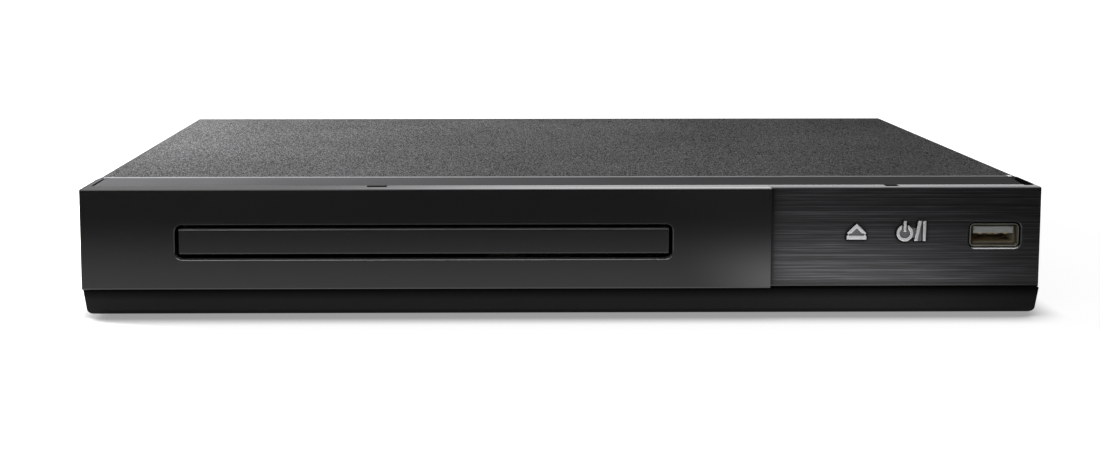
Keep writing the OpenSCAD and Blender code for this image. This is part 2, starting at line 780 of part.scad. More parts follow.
// the whole key: ring, stick, web, and the strokes with the wedge between them
module power_outline() translate(ring_at) {
  circle(r = power_r);
  stick_mark();
  translate([power_r - 0.6, -web_half]) square([slash_x + 1.2 - power_r, 2 * web_half]);
  polygon([[slash_x, mark_low], [bar_x + bar_w, mark_low],
           [bar_x + bar_w, mark_top], [slash_x + slash_lean, mark_top]]);
}

// the grooves beside the stick and the bar, twice as deep as the sunk faces
module power_grooves() translate(ring_at) {
  for (x = [-1, 1]) translate([x * (ring_open + stick_w) / 4, power_r - ring_w / 2])
    square([(ring_open - stick_w) / 2, 2 * ring_w], center = true);
  translate([bar_x - groove_w, mark_low - 1]) square([groove_w, mark_top - mark_low + 2]);
}

module key_lever(x, w) translate([x, 0, 0]) {
  blk([-w / 2, lever_y, key_at - 4], [w / 2, lever_y + lever_t, key_at + 3.8]);
  rod_y_dir(1.4, [0, lever_y + lever_t - eps, key_at - 0.6], stem_l);
  for (s = [-1, 1]) blk([s * (w / 2 - 1.4) - 0.6, lever_y + lever_t - eps, key_at - 3],
                        [s * (w / 2 - 1.4) + 0.6, lever_y + lever_t + 0.9, key_at + 2.8]);
}

key_face = fascia_step - key_out;

module eject_button() color("#b9bbbe") place() difference() {
  along_y(key_face, lever_y) eject_outline();
  along_y(key_face - 1, key_face + key_sink) eject_sunk();
}

module eject_lever() color("#1c1c1e") place() key_lever(eject_x, 10);

module power_button() color("#c4c6c9") place() {
  along_y(key_face, key_face + key_sink + eps) power_marks();
  difference() {
    along_y(key_face + key_sink, lever_y) power_outline();
    along_y(key_face, key_face + 2 * key_sink) power_grooves();
  }
}

module power_lever() color("#1c1c1e") place() key_lever(power_x + 0.3, 10.4);

// ---- front board ----

module front_board() color("#2f6b45") place() difference() {
  blk([front_board_x[0], front_board_y[0], front_board_z],
      [front_board_x[1], front_board_y[1], front_board_top]);
  for (p = front_posts) translate([p[0], p[1], front_board_z - 1]) cylinder(r = 1.5, h = 4);
  // clear of the loader's corner
  blk([0, frame_y - 2, 0], [loader_side + 3, 60, 40]);
}

module tact_switches() color("#c9b28a") place() for (x = [eject_x, power_x + 0.3]) {
  rod_y_dir(1.3, [x, switch_y, key_at - 0.6], 1.2);
  blk([x - 3, switch_y + 1.1, front_board_top], [x + 3, switch_y + 4.9, key_at + 2.6]);
  // soldered side lugs
  for (s = [-1, 1]) translate([x + s * 3.4, 0, front_board_top])
    blk([-0.4, switch_y + 2, 0], [0.4, switch_y + 4, 3]);
}

module ir_receiver() color("#241c2c") place() difference() {
  union() {
    blk([ir_x - 3, panel_back + 3.2, front_board_top], [ir_x + 3, panel_back + 7.2, usb_at + 4.4]);
    translate([ir_x, panel_back + 3.3, usb_at + 1]) rotate([90, 0, 0]) cylinder(r1 = 2.6, r2 = 1.8, h = 1.9);
  }
  blk([ir_x - 1, panel_back + 6.8, front_board_top - 1], [ir_x + 1, panel_back + 8, front_board_top + 5]);
}

module standby_led() color("#b8322c") place() {
  rod_y_dir(1.5, [led_x, panel_back + 0.6, usb_at - 0.4], 4.2);
  blk([led_x - 1.8, panel_back + 4.6, front_board_top], [led_x + 1.8, panel_back + 6, usb_at + 1.4]);
}

// a flat cable: a strip that follows points at a constant thickness
ribbon_t = 0.4;
function side_of(p, i) =
  let (a = p[max(i - 1, 0)], b = p[min(i + 1, len(p) - 1)], d = b - a) [-d[1], d[0]] / norm(d);
module strip2d(p) polygon(concat(
  [for (i = [0:len(p) - 1]) p[i] + side_of(p, i) * ribbon_t / 2],
  [for (i = [len(p) - 1:-1:0]) p[i] - side_of(p, i) * ribbon_t / 2]));

module front_ribbon() color("#d8d8d2") place() {
  back = front_board_y[1];
  // flat cable between two sockets
  along_x(ribbon_x, ribbon_x + ribbon_w) strip2d([
    [back - 2, front_board_top + 1.2], [back + 3, front_board_top + 1.4], [back + 7, front_board_top - 1],
    [back + 13, board_top + 3], [main_y[0] - 9, board_top + 0.9], [main_y[0] + 1.95, board_top + 1.2]]);
}

usb_y = panel_y - 0.6;

module usb_shell() color("#c3c5c8") place() difference() {
  union() {
    along_y(usb_y, panel_y + usb_d) usb2d(0);
    along_y(usb_y, panel_y - 0.05) usb2d(usb_flare);
  }
  along_y(usb_y - 1, panel_y + usb_d - 0.5) usb2d(-usb_sheet);
  hull() {
    along_y(usb_y - 0.1, usb_y) usb2d(usb_flare - usb_sheet + 0.1);
    along_y(panel_y - 0.1, panel_y) usb2d(-usb_sheet);
  }
}

// the tongue hangs in the shell's upper half, from a block that fills the shell's rear
module usb_tongue() color("#cfd1d0") place() translate([usb_x, 0, usb_at]) {
  side = usb_w / 2 - usb_sheet;
  top = usb_h / 2 - usb_sheet;
  blk([0.55 - side, panel_y + 0.4, usb_contact_z], [side - 0.55, panel_y + usb_d - 2, top - 0.2]);
  blk([0.2 - side, panel_y + usb_d - 2, 0.2 - top], [side - 0.2, panel_y + usb_d - 0.5, top - 0.2]);
}

usb_contact_z = 0.35;
usb_contact_t = 0.3;
module usb_contacts() color("#d3a84c") place() translate([usb_x, 0, usb_at + usb_contact_z])
  for (x = [-3.5, -1, 1, 3.5])
    blk([x - 0.5, panel_y + 0.9, -usb_contact_t], [x + 0.5, panel_y + usb_d - 2, 0]);

// ---- loader frame ----

module loader_frame() color("#1f2022") loader() {
  cam_wall = cam_y - 2.2;
  guide_z = tray_top + 0.3;
  difference() {
    union() {
      // floor ring
      difference() {
        blk([-frame_out, frame_y, deck_z - frame_t], [frame_out, frame_back, deck_z]);
        blk([-frame_open, cam_y - 0.4, deck_z - frame_t - 1], [frame_open, frame_back - 14, deck_z + 1]);
      }
      for (s = [-1, 1]) {
        // side wall
        translate([s * (frame_in + frame_wall / 2) - frame_wall / 2, 0, 0])
          blk([0, frame_y, floor_z + 2], [frame_wall, frame_back, bridge_z]);
        // runner under the tray's edge
        translate([s * (frame_in - ledge_w / 2 + eps) - ledge_w / 2, 0, 0])
          blk([0, frame_y, tray_z - slide_gap - ledge_t], [ledge_w, frame_back, tray_z - slide_gap]);
        // hooks over the tray's edge, and the pad under the clamper bridge
        for (h = [[hook_y, frame_in - stop_x + 1], [disc_y + 52, 4]])
          translate([s * (frame_in - h[1] / 2 + eps) - h[1] / 2, 0, 0])
            blk([0, h[0], guide_z], [h[1], h[0] + hook_l, guide_z + 1.6]);
        translate([s * (frame_in - 2 + eps) - 2, 0, 0])
          blk([0, disc_y - bridge_half, guide_z], [4, disc_y + bridge_half, bridge_z]);
        // hinge ear
        translate([s * (frame_open - 2) - 2, 0, 0])
          blk([0, hinge_y - 5, deck_z - eps], [4, min(hinge_y + 5, frame_back), tray_z - 1.4]);
      }
      // wall that guides the cam slider
      blk([-38, cam_wall, deck_z - frame_t], [32, cam_y - 0.3, deck_z + 5.6]);
      // motor table
      translate([motor_at[0], motor_at[1], 0]) {
        difference() {
          blk([-motor_r - 2, -motor_r - 2, table_z], [motor_r + 2, motor_r + 2, table_z + 1.3]);
          translate([0, 0, pulley_z - 3]) cylinder(r = 4, h = 5);
        }
        for (x = [-1, 1], y = [-1, 1])
          translate([x * (motor_r + 0.6) - 1.4, y * (motor_r + 0.6) - 1.4, deck_z - eps])
            cube([2.8, 2.8, table_z + 0.1 - deck_z]);
      }
      // axles
      translate([pinion_at[0], pinion_at[1], deck_z - eps]) cylinder(r = axle_r, h = axle_top - deck_z);
      translate([pinion_at[0], pinion_at[1], deck_z - eps]) cylinder(r = axle_r + 1.5, h = 0.5);
      translate([gear_dx, drive_y, deck_z - eps])
        cylinder(r = axle_r, h = tray_z + rack_gear_h - deck_z - 0.2);
      translate([gear_dx, drive_y, deck_z - eps]) cylinder(r = axle_r + 1.5, h = 0.5);
    }
    // hinge bores
    rod_x_dir(trunnion_r + run_gap, [-frame_open - 1, hinge_y, pin_z], 2 * frame_open + 2);
    // groove for the cam slider's rib
    blk([-60, cam_y - 1.7, pin_z - 2.6], [60, cam_y + 1, pin_z + 0.0]);
    // motor well
    translate([motor_at[0], motor_at[1], deck_z - frame_t - 1]) cylinder(r = motor_r + 0.4, h = frame_t + 2);
    // window for the loader's flat cable
    blk([frame_in - 1, drive_y - 9, deck_z + 1.2], [frame_out + 1, drive_y + 4, deck_z + 5.4]);
    // holes for the frame's screws and the bridge's
    for (p = loader_posts) translate([p[0] - tray_x, p[1], deck_z - 3]) cylinder(r = 1.4, h = 5);
    for (x = [-1, 1], y = [-10, 10])
      translate([x * (frame_in - 0.6), disc_y + y, bridge_z - 4]) cylinder(r = pilot_r, h = 5);
  }
}

module screw(head_r, head_h, shank_r, shank_l) {
  difference() {
    cylinder(r1 = head_r, r2 = head_r - 0.5, h = head_h);
    for (a = [0, 90]) rotate(a) translate([-1.2, -0.25, head_h - 0.7]) cube([2.4, 0.5, 1]);
  }
  translate([0, 0, -shank_l]) cylinder(r = shank_r, h = shank_l + eps);
}

module loader_screws() color("#9a9ca0") {
  place() for (p = loader_posts) translate([p[0], p[1], deck_z]) screw(2.6, 1.3, pilot_r - 0.05, 5);
  loader() for (x = [-1, 1], y = [-10, 10])
    translate([x * (frame_in - 0.6), disc_y + y, bridge_z + bridge_t]) screw(2.4, 1.2, pilot_r - 0.05, 3.6);
}

neck_hole = 13;
bridge_half = 18;
module clamper_bridge() color("#a7a9ac") loader() difference() {
  union() {
    blk([-frame_out, disc_y - bridge_half, bridge_z],
        [frame_out, disc_y + bridge_half, bridge_z + bridge_t]);
    // stiffening flanges along both edges
    for (s = [-1, 1]) translate([0, disc_y + s * (bridge_half - bridge_t / 2) - bridge_t / 2, 0])
      blk([-frame_in + 8, 0, bridge_z], [frame_in - 8, bridge_t, bridge_z + 4]);
  }
  translate([0, disc_y, bridge_z - 1]) cylinder(r = neck_hole, h = bridge_t + 2);
  for (x = [-1, 1], y = [-10, 10])
    translate([x * (frame_in - 0.6), disc_y + y, bridge_z - 1]) cylinder(r = 1.3, h = 4);
  // weight-saving windows
  for (s = [-1, 1]) blk([s * 38 - 12, disc_y - 9, bridge_z - 1], [s * 38 + 12, disc_y + 9, bridge_z + 3]);
}

clamp_z = tray_top + 0.4;
module clamper() color("#e4e4e0") loader() translate([0, disc_y, clamp_z]) difference() {
  union() {
    cylinder(r = 16, h = 1.6);
    cylinder(r = 11, h = bridge_z + bridge_t + 0.2 - clamp_z);
    translate([0, 0, bridge_z + bridge_t + 0.1 - clamp_z]) cylinder(r = 15.5, h = 1.1);
  }
  translate([0, 0, -1]) cylinder(r = hub_r + 1.6, h = 3);
  translate([0, 0, 2.6]) cylinder(r = 8, h = 5);
  // grooved underside that grips the disc
  translate([0, 0, -eps]) difference() {
    cylinder(r = 15, h = 0.3);
    cylinder(r = 13.5, h = 0.3);
  }
}
module clamper_magnet() color("#55575a") loader() translate([0, disc_y, clamp_z + 2.6]) tube(8, 3, 1.6);

// ---- tray ----

// a row of hollows under the tray, between two sides and up to a level
tray_rib = 1.6;
module underside_row(x0, x1, z1) for (i = [0:5]) translate([0, tray_y + 3 + i * 27, 0])
  blk([x0, 0, tray_z - 1], [x1, 27 - tray_rib, z1]);

module disc_tray() color("#26272a") loader() {
  half = tray_w / 2;
  tray_end = tray_y + tray_l;
  rack_side = gear_dx - rack_pitch_r;
  hollow_z = well_z - small_well_depth - 1.2;
  difference() {
    union() {
      blk([-half, tray_y, tray_z], [half, tray_end, tray_top]);
      // stops that meet the frame's front hooks when the tray is out
      for (s = [-1, 1]) translate([s * stop_x, 0, tray_top - eps])
        blk([-0.8, stop_y, 0], [0.8, stop_y + 3, 1.6]);
    }
    // wells for both disc sizes, with a finger notch at each side of the rear
    translate([0, disc_y, well_z]) cylinder(r = well_r, h = 10, $fn = 96);
    translate([0, disc_y, well_z - small_well_depth]) cylinder(r = small_well_r, h = 10, $fn = 72);
    for (s = [-1, 1]) translate([s * 44, disc_y + 44, well_z]) cylinder(r = 12, h = 10);
    // hollow underside, each side of the pickup's slot and beside the rack
    underside_row(3 - half, -slot_w / 2 - tray_rib, hollow_z);
    underside_row(slot_w / 2 + tray_rib, rack_side - 4.4, hollow_z);
    underside_row(rack_x + rack_back + tray_rib, half - 3, tray_z + corridor_h);
    // the gear's way beside the rack
    blk([rack_side - 2.6, drive_y - rack_pitch_r - 3, tray_z - 1],
        [rack_x + eps, tray_end + 1, tray_z + corridor_h]);
    blk([rack_x - eps, tray_y + 3, tray_z - 1],
        [rack_x + rack_back - eps, drive_y - rack_lead + eps, tray_z + corridor_h]);
    translate([rack_x, drive_y, tray_z - 1])
      linear_extrude(corridor_h + 1) rack_gaps(tray_end - drive_y);
    // pickup slot, round at the disc's middle and open at the rear
    translate([0, disc_y, tray_z - 1]) cylinder(r = slot_w / 2, h = 20);
    blk([-slot_w / 2, disc_y, tray_z - 1], [slot_w / 2, tray_end + 1, tray_top + 1]);
    // lowered deck behind the disc
    blk([6 - half, disc_y + well_r + 3, well_z + 0.8], [half - 6, tray_end + 1, tray_top + 1]);
  }
}

// what is cut away between the rack's teeth
rack_back = 4;
rack_lead = 8;
module rack_gaps(y1) difference() {
  translate([-eps, -rack_lead]) square([1.15 * rack_module + eps, y1 + rack_lead + 1]);
  rack2d(rack_module, rack_back, -rack_lead, y1);
}

module tray_door() color("#1a1a1c") loader() {
  z0 = foot_h + recess_z + door_gap;
  along_x(-door_w / 2, door_w / 2) polygon(concat(
    arc([door_set + 0.4, z0 + 0.4], 0.4, 270, 180, 3),
    arc([door_set + 0.4, z0 + door_h - 0.4], 0.4, 180, 90, 3),
    [[tray_y, z0 + door_h], [tray_y, z0]]));
}

// ---- loading drive ----

module loading_motor() color("#b4b6ba") loader() translate([motor_at[0], motor_at[1], floor_z + 0.8]) {
  top = table_z - floor_z - 0.8;
  difference() {
    union() {
      cylinder(r = motor_r, h = top);
      translate([0, 0, top - eps]) cylinder(r = 3.2, h = 1);
    }
    translate([0, 0, 5]) cylinder(r = 1 + run_gap, h = 20);
    // two flats on the can
    for (s = [-1, 1]) translate([s * motor_r, 0, 1]) cube([2, 9, 7], center = true);
  }
}

module grooved_pulley(r) difference() {
  rotate_extrude() polygon([
    [0, 0], [r + 0.3, 0], [r + 0.3, 0.25], [r - 0.7, 0.4], [r - 0.7, pulley_h - 0.4],
    [r + 0.3, pulley_h - 0.25], [r + 0.3, pulley_h], [0, pulley_h]]);
}

module motor_pulley() color("#d9d9d4") loader() translate([motor_at[0], motor_at[1], 0]) {
  translate([0, 0, pulley_z]) grooved_pulley(motor_pulley_r);
  translate([0, 0, floor_z + 6.2]) cylinder(r = 1, h = pulley_z - floor_z - 6.2 + eps);
}

module pulley_gear() color("#dcdcd8") loader() translate([pinion_at[0], pinion_at[1], 0]) difference() {
  union() {
    translate([0, 0, deck_z + 0.6]) linear_extrude(wheel_h + 0.4)
      rotate(pinion_dir + 180 + 180 / pinion_teeth) gear2d(pair_module, pinion_teeth);
    translate([0, 0, deck_z + 0.6 + wheel_h]) cylinder(r = 4.2, h = pulley_z - deck_z - 0.6 - wheel_h + eps);
    translate([0, 0, pulley_z]) grooved_pulley(pulley_r);
  }
  translate([0, 0, deck_z]) cylinder(r = axle_r + run_gap, h = 20);
  // lightening pockets in the pulley
  for (a = [0:60:300]) rotate(a) translate([7.4, 0, pulley_z + 0.9]) cylinder(r = 2, h = 3);
}

module drive_gear() color("#d2d2cd") loader() translate([gear_dx, drive_y, 0]) difference() {
  union() {
    translate([0, 0, deck_z + 0.6])
      linear_extrude(wheel_h) rotate(pinion_dir) gear2d(pair_module, wheel_teeth);
    translate([0, 0, deck_z + 0.6]) cylinder(r = 3.8, h = tray_z - deck_z - 0.4);
    translate([0, 0, tray_z + 0.1]) linear_extrude(rack_gear_h) gear2d(rack_module, rack_teeth);
  }
  translate([0, 0, deck_z]) cylinder(r = axle_r + run_gap, h = 20);
  for (a = [0:60:300]) rotate(a + 30) translate([8.4, 0, deck_z + 1.6]) cylinder(r = 2.6, h = 3);
}

// outline round two circles, an open belt's inner or outer edge
function belt_points(a, b, ra, rb, g) =
  let (d = b - a, base = atan2(d[1], d[0]), open = acos((ra - rb) / norm(d)),
       ka = (ra + g) / cos(90 / 14), kb = (rb + g) / cos(90 / 8))
  concat(arc(a, ka, base + open, base + 360 - open, 20), arc(b, kb, base - open, base + open, 8));

module drive_belt() color("#141414") loader() {
  a = pinion_at;
  b = motor_at;
  ra = pulley_r - 0.7;
  rb = motor_pulley_r - 0.7;
  translate([0, 0, pulley_z + (pulley_h - belt_t) / 2]) linear_extrude(belt_t) difference() {
    polygon(belt_points(a, b, ra, rb, 0.06 + belt_t));
    polygon(belt_points(a, b, ra, rb, 0.06));
  }
}

module cam_slider() color("#e0ded6") loader() {
  z0 = floor_z + 1;
  z1 = tray_z - 0.8;
  thick = 2.5;
  lean = atan2(pin_drop, cam_travel);
  reach = norm([cam_travel, pin_drop]);
  slot_r = cam_pin_r + 0.12;
  difference() {
    union() {
      blk([-pin_x - cam_travel - 4, cam_y, z0], [pin_x + 10, cam_y + thick, z1]);
      // rib that runs in the frame's groove
      blk([-pin_x - cam_travel, cam_y - 1.5, pin_z - 2.4], [pin_x + 6, cam_y + eps, pin_z - 0.2]);
    }
    for (s = [-1, 1]) translate([s * pin_x, cam_y - 2, pin_z]) rotate([-90, 0, 0]) {
      cylinder(r = slot_r, h = thick + 3);
      translate([-cam_travel, pin_drop, 0]) cylinder(r = slot_r, h = thick + 3);
      rotate(-lean) translate([-reach, -slot_r, 0]) cube([reach, 2 * slot_r, thick + 3]);
    }
    // windows between the slots
    blk([-8, cam_y - 2, z0 + 2], [6, cam_y + 4, pin_z - 3.4]);
  }
}

module loader_board() color("#2f6b45") loader() {
  x0 = gear_dx + wheel_pitch_r + 2.2;
  blk([x0, drive_y - 9, deck_z], [frame_in - 0.4, drive_y + 12, deck_z + 1.2]);
  // socket for the flat cable
  blk([frame_in - 6, drive_y - 8.4, deck_z + 1.2], [frame_in - 1.6, drive_y + 3.4, deck_z + 3.4]);
}

module loader_ribbon() color("#d8d8d2") place() {
  x0 = tray_x + frame_in - 1.6;
  x1 = main_x[0] + 3;
  y0 = drive_y - 4;
  translate([0, 0, deck_z + 1.6]) linear_extrude(3.4) strip2d([
    [x0, y0], [x0 + 5, y0], [x0 + 7, y0 + 6],
    [x0 + 7.6, main_y[0] - 10], [x1 - 0.4, main_y[0] - 2], [x1, main_y[0] + 4]]);
}

// ---- lift frame and traverse ----

module lift_frame() color("#303236") loader() {
  back = hinge_y + 3;
  difference() {
    union() {
      difference() {
        blk([-lift_half, lift_y, lift_z], [lift_half, back, lift_z + lift_h]);
        blk([lift_bar - lift_half, lift_y + lift_bar, lift_z - 1],
            [lift_half - lift_bar, back - lift_bar - 1, lift_z + 10]);
      }
      // ears under the bushes
      for (s = [-1, 1], y = bush_y) {
        translate([s * bush_x, y, lift_z]) cylinder(r = bush_r + 0.6, h = bush_z - lift_z);
        translate([s * (bush_x + 4) - 4, 0, 0]) blk([0, y - 3, lift_z], [8, y + 3, bush_z]);
      }
      // hinge pins and cam pins
      for (s = [-1, 1]) rod_x_dir(trunnion_r, [s * (lift_half + 2.4) - 3.2, hinge_y, pin_z], 6.4);
      for (s = [-1, 1]) rod_y_dir(cam_pin_r, [s * pin_x, cam_y + 0.4, pin_z], lift_y - cam_y + 0.6);
    }
    for (s = [-1, 1], y = bush_y) translate([s * bush_x, y, lift_z - 1]) cylinder(r = pilot_r, h = 6);
  }
}

module damper_bushes() color("#5b2f3b") loader() for (s = [-1, 1], y = bush_y)
  translate([s * bush_x, y, bush_z]) difference() {
    rotate_extrude() polygon([
      [pilot_r + 0.4, 0], [bush_r, 0], [bush_r, plate_z - bush_z], [neck_r, plate_z - bush_z],
      [neck_r, plate_z - bush_z + deck_t], [bush_r - 0.4, plate_z - bush_z + deck_t],
      [bush_r - 0.4, bush_h], [pilot_r + 0.4, bush_h]]);
  }

module bush_screws() color("#9a9ca0") loader() for (s = [-1, 1], y = bush_y)
  translate([s * bush_x, y, bush_z + bush_h]) {
    cylinder(r = 3, h = 0.5);
    translate([0, 0, lift_z - bush_z - bush_h]) cylinder(r = pilot_r, h = bush_h + bush_z - lift_z + eps);
  }

module traverse_deck() color("#9fa2a6") loader() difference() {
  edge = lift_half - lift_bar - 1.5;
  y0 = bush_y[0] - 3.5;
  y1 = bush_y[1] + 5;
  translate([0, 0, plate_z]) linear_extrude(deck_t) difference() {
    polygon([[-edge, y0], [edge, y0], [edge, y1], [-edge, y1]]);
    // opening for the pickup
    translate([3 - rod_x, rod_y[0] + 0.5]) square([2 * rod_x - 6, rod_end - rod_y[0] - 3.5]);
    translate([0, disc_y]) circle(r = motor_hub_r + seat_gap);
    for (s = [-1, 1], y = bush_y) translate([s * bush_x, y]) circle(r = neck_r + seat_gap);
    translate([screw_x, disc_y + 5.6]) square([2 * sled_motor_r + 0.8, 15.2], center = true);
  }
}

module guide_rods() color("#c9cbce") loader() for (s = [-1, 1])
  rod_y_dir(rod_r, [s * rod_x, rod_y[0], rod_z], rod_y[1] - rod_y[0]);

module rod_holders() color("#3d3f42") loader() difference() {
  for (s = [-1, 1], y = [rod_y[0], rod_y[1] - 3.6])
    blk([s * rod_x - 2.8, y, rod_z - rod_r - 0.9], [s * rod_x + 2.8, y + 3.6, plate_z]);
  for (s = [-1, 1]) rod_y_dir(rod_r, [s * rod_x, rod_y[0] - 1, rod_z], rod_y[1] - rod_y[0] + 2);
}

motor_base = 12;
motor_hub_r = 6.4;
shaft_r = 1;
module spindle_motor() color("#8f9296") loader() translate([0, disc_y, 0]) difference() {
  union() {
    translate([0, 0, plate_z + deck_t]) cylinder(r = motor_base, h = 1.2);
    translate([0, 0, plate_z - 2]) cylinder(r = motor_hub_r, h = 2 + deck_t + eps);
    translate([0, 0, plate_z + deck_t + 1.2 - eps]) cylinder(r = 3, h = 1.6);
    // stator
    for (a = [0:40:320]) rotate(a) translate([2.6, -1, plate_z + deck_t + 1.2 - eps]) cube([6.6, 2, 1.5]);
  }
  translate([0, 0, plate_z - 1.4]) cylinder(r = shaft_r + run_gap, h = 20);
}

module turntable() color("#25262a") loader() translate([0, disc_y, 0]) {
  can_z = plate_z + deck_t + 1.5;
  translate([0, 0, can_z]) difference() {
    cylinder(r = motor_base, h = disc_z - 3.2 - can_z);
    translate([0, 0, -1]) cylinder(r = motor_base - 1.6, h = 3);
  }
  translate([0, 0, plate_z - 1.2]) cylinder(r = shaft_r, h = disc_z - plate_z);
  // table, grip ring and hub cone
  rotate_extrude() polygon([
    [0, disc_z - 3.3], [turntable_r - 0.6, disc_z - 3.3], [turntable_r, disc_z - 2.7],
    [turntable_r, disc_z - 0.2], [turntable_r - 0.8, disc_z], [turntable_r - 3.6, disc_z],
    [turntable_r - 3.6, disc_z - 0.5], [hub_r + 0.6, disc_z - 0.5], [hub_r, disc_z],
    [hub_r, disc_z + 1], [hub_r - 1.6, disc_z + 2.1], [2, disc_z + 2.1],
    [2, disc_z + 1.2], [0, disc_z + 1.2]]);
}

module sled_motor() color("#a9abaf") loader() {
  y0 = disc_y - 1.6;
  rod_y_dir(sled_motor_r, [screw_x, y0, screw_z], 12.4);
  // bracket up to the deck
  difference() {
    blk([screw_x - 2.2, rod_y[1] - 2.8, screw_z - 2.4], [screw_x + 2.2, rod_y[1] - 1.2, plate_z]);
    rod_y_dir(screw_r + run_gap, [screw_x, rod_y[1] - 4, screw_z], 6);
  }
}

module lead_screw() color("#c4c6ca") loader() {
  y0 = disc_y + 10.9;
  rod_y_dir(screw_r, [screw_x, y0, screw_z], rod_y[1] - y0 - 0.6);
  // collar at the motor's end
  rod_y_dir(screw_r + 0.6, [screw_x, y0 + 0.2, screw_z], 1.2);
}

module pickup_body() color("#3a3c40") loader() {
  y0 = lens_y - 7.4;
  low = tray_z - 8;
  difference() {
    union() {
      blk([-28, y0, low], [28, y0 + pickup_l, tray_z - 0.9]);
      // bearing lug on the left rod, fork on the right one
      blk([-rod_x - 3.2, y0 + 1, rod_z - 2.8], [-27, y0 + pickup_l - 1, plate_z - 0.3]);
      blk([27, y0 + 7, rod_z - 2.8], [rod_x + 1, y0 + 17, plate_z - 0.3]);
      // nut finger that reaches the lead screw from below
      blk([rod_x - 1, y0 + 9, rod_z - 2.8], [screw_x - screw_r - 0.2, y0 + 13, rod_z - 1.9]);
      blk([screw_x - screw_r - 1.4, y0 + 9, rod_z - 2.8], [screw_x - screw_r - 0.2, y0 + 13, screw_z + 0.6]);
      // dome round the lens
      translate([-9.4, lens_y - 7.4, tray_z - 1]) cube([18.8, 15.4, 3.8]);
    }
    rod_y_dir(rod_r + run_gap, [-rod_x, y0 - 1, rod_z], pickup_l + 2);
    blk([rod_x - rod_r - 0.5, y0 - 1, rod_z - rod_r - 0.1],
        [rod_x + 4, y0 + pickup_l + 2, rod_z + rod_r + 0.1]);
    // well for the lens holder
    blk([-7.6, lens_y - 6, tray_z - 4.4], [7.6, lens_y + 6.6, tray_z + 8]);
    // front edge follows the spindle motor
    translate([0, disc_y, low - 1]) cylinder(r = 16.2, h = 8);
  }
}

module lens_holder() color("#1d1e22") loader() translate([0, lens_y, 0]) difference() {
  union() {
    blk([-6, -4.8, tray_z - 3.2], [6, 5.2, tray_z + 3]);
    translate([0, 0, tray_z + 3 - eps]) cylinder(r = 3.7, h = 1);
  }
  translate([0, 0, tray_z - 4]) cylinder(r = 2.2, h = 12);
}

lens_half = 2.9;
module objective_lens() color("#9fb6c8") loader() translate([0, lens_y, tray_z + 4])
  rotate_extrude() polygon(concat(
    [[0, 0], [lens_half, 0]],
    [for (a = [0:15:90]) [lens_half * cos(a), 0.25 + 0.55 * sin(a)]]));

// ---- electronics ----

module board_holes(spots) for (p = spots) translate([p[0], p[1], board_z - 1]) cylinder(r = 1.5, h = 5);

module main_board() color("#2c6a44") place() difference() {
  blk([main_x[0], main_y[0], board_z], [main_x[1], main_y[1], board_top]);
  board_holes(board_posts);
}

module power_board() color("#a88d57") place() difference() {
  blk([power_x_side - power_w, power_y[0], board_z], [power_x_side, power_y[1], board_top]);
  board_holes(board_posts);
}

// a flat square package with its middle at a place on a board
module chip(x, y, side, h) translate([x - side / 2, y - side / 2, board_top]) cube([side, side, h]);

module main_chips() color("#1a1a1b") place() {
  // decoder, memory, sound converter and program store
  chip(main_mid, main_y[0] + 32, decoder_w, 2);
  chip(main_x[0] + 10, main_y[0] + 52, memory_w, 1.4);
  chip(main_x[1] - 12, main_y[0] + 64, sound_w, 1.4);
  chip(main_x[1] - 12, main_y[0] + 14, store_w, 1.4);
  // sockets for the flat cables
  blk([ribbon_x - 1, main_y[0] + 2, board_top], [ribbon_x + ribbon_w + 1, main_y[0] + 6, board_top + 2.6]);
  blk([main_x[0] + 3.3, main_y[0] + 10, board_top], [main_x[0] + 7, main_y[0] + 30, board_top + 2.6]);
}

// a round capacitor with a rolled-in groove near its top
module capacitor(x, y, r, h) translate([x, y, board_top]) rotate_extrude() polygon([
  [0, 0], [r, 0], [r, 1], [r - 0.3, 1.5], [r, 2], [r, h - 0.4], [r - 0.4, h], [0, h]]);

module capacitors() color("#2a3a5c") place() {
  for (y = [76, 86]) {
    capacitor(main_mid + 2, main_y[0] + y, 3, 8);
    capacitor(main_x[0] + 5, main_y[0] + y, 2.5, 8);
  }
  capacitor(power_x_side - 9, rear_y - 60, 6, 18);
  capacitor(power_x_side - 35, power_y[0] + 13, 4, 13);
  capacitor(power_x_side - 25, power_y[0] + 7, 4, 13);
}

// two core halves round a wound bobbin
module transformer() color("#c9a23f") place() translate([transformer_at[0], transformer_at[1], board_top]) {
  w = transformer_core[0] / 2;
  d = transformer_core[1] / 2;
  top = transformer_core[2] + 1;
  for (s = [-1, 1]) translate([s * (w - transformer_limb / 2), 0, 0])
    blk([-transformer_limb / 2, -d, 1], [transformer_limb / 2, d, top]);
  for (z = [1, top - transformer_yoke]) translate([0, 0, z])
    blk([-w, -d, 0], [w, d, transformer_yoke]);
  translate([0, 0, transformer_yoke + 1 - eps])
    cylinder(r = winding_r, h = top - 1 - 2 * transformer_yoke + 2 * eps);
  blk([3 - w, 2 - d, 0], [w - 3, d - 2, 1 + eps]);
}

// a plate with upright fins
fins = 5;
module heat_sink() color("#b7b9bc") place() translate([sink_at[0], sink_at[1], board_top]) {
  cube(sink_size);
  for (i = [0:fins - 1]) translate([-fin_l, i * (sink_size[1] - fin_t) / (fins - 1), 2])
    cube([fin_l + eps, fin_t, sink_size[2] - 2]);
}

fuse_r = 2.6;
module fuse() color("#d7dadc") place() translate([fuse_at[0], fuse_at[1], board_top + 4]) {
  rod_y_dir(fuse_r, [0, -fuse_l / 2, 0], fuse_l);
  // clips that hold the glass tube
  for (s = [-1, 1]) translate([-fuse_r, s * 7.5 - 1.5, -4]) cube([2 * fuse_r, 3, 4]);
}

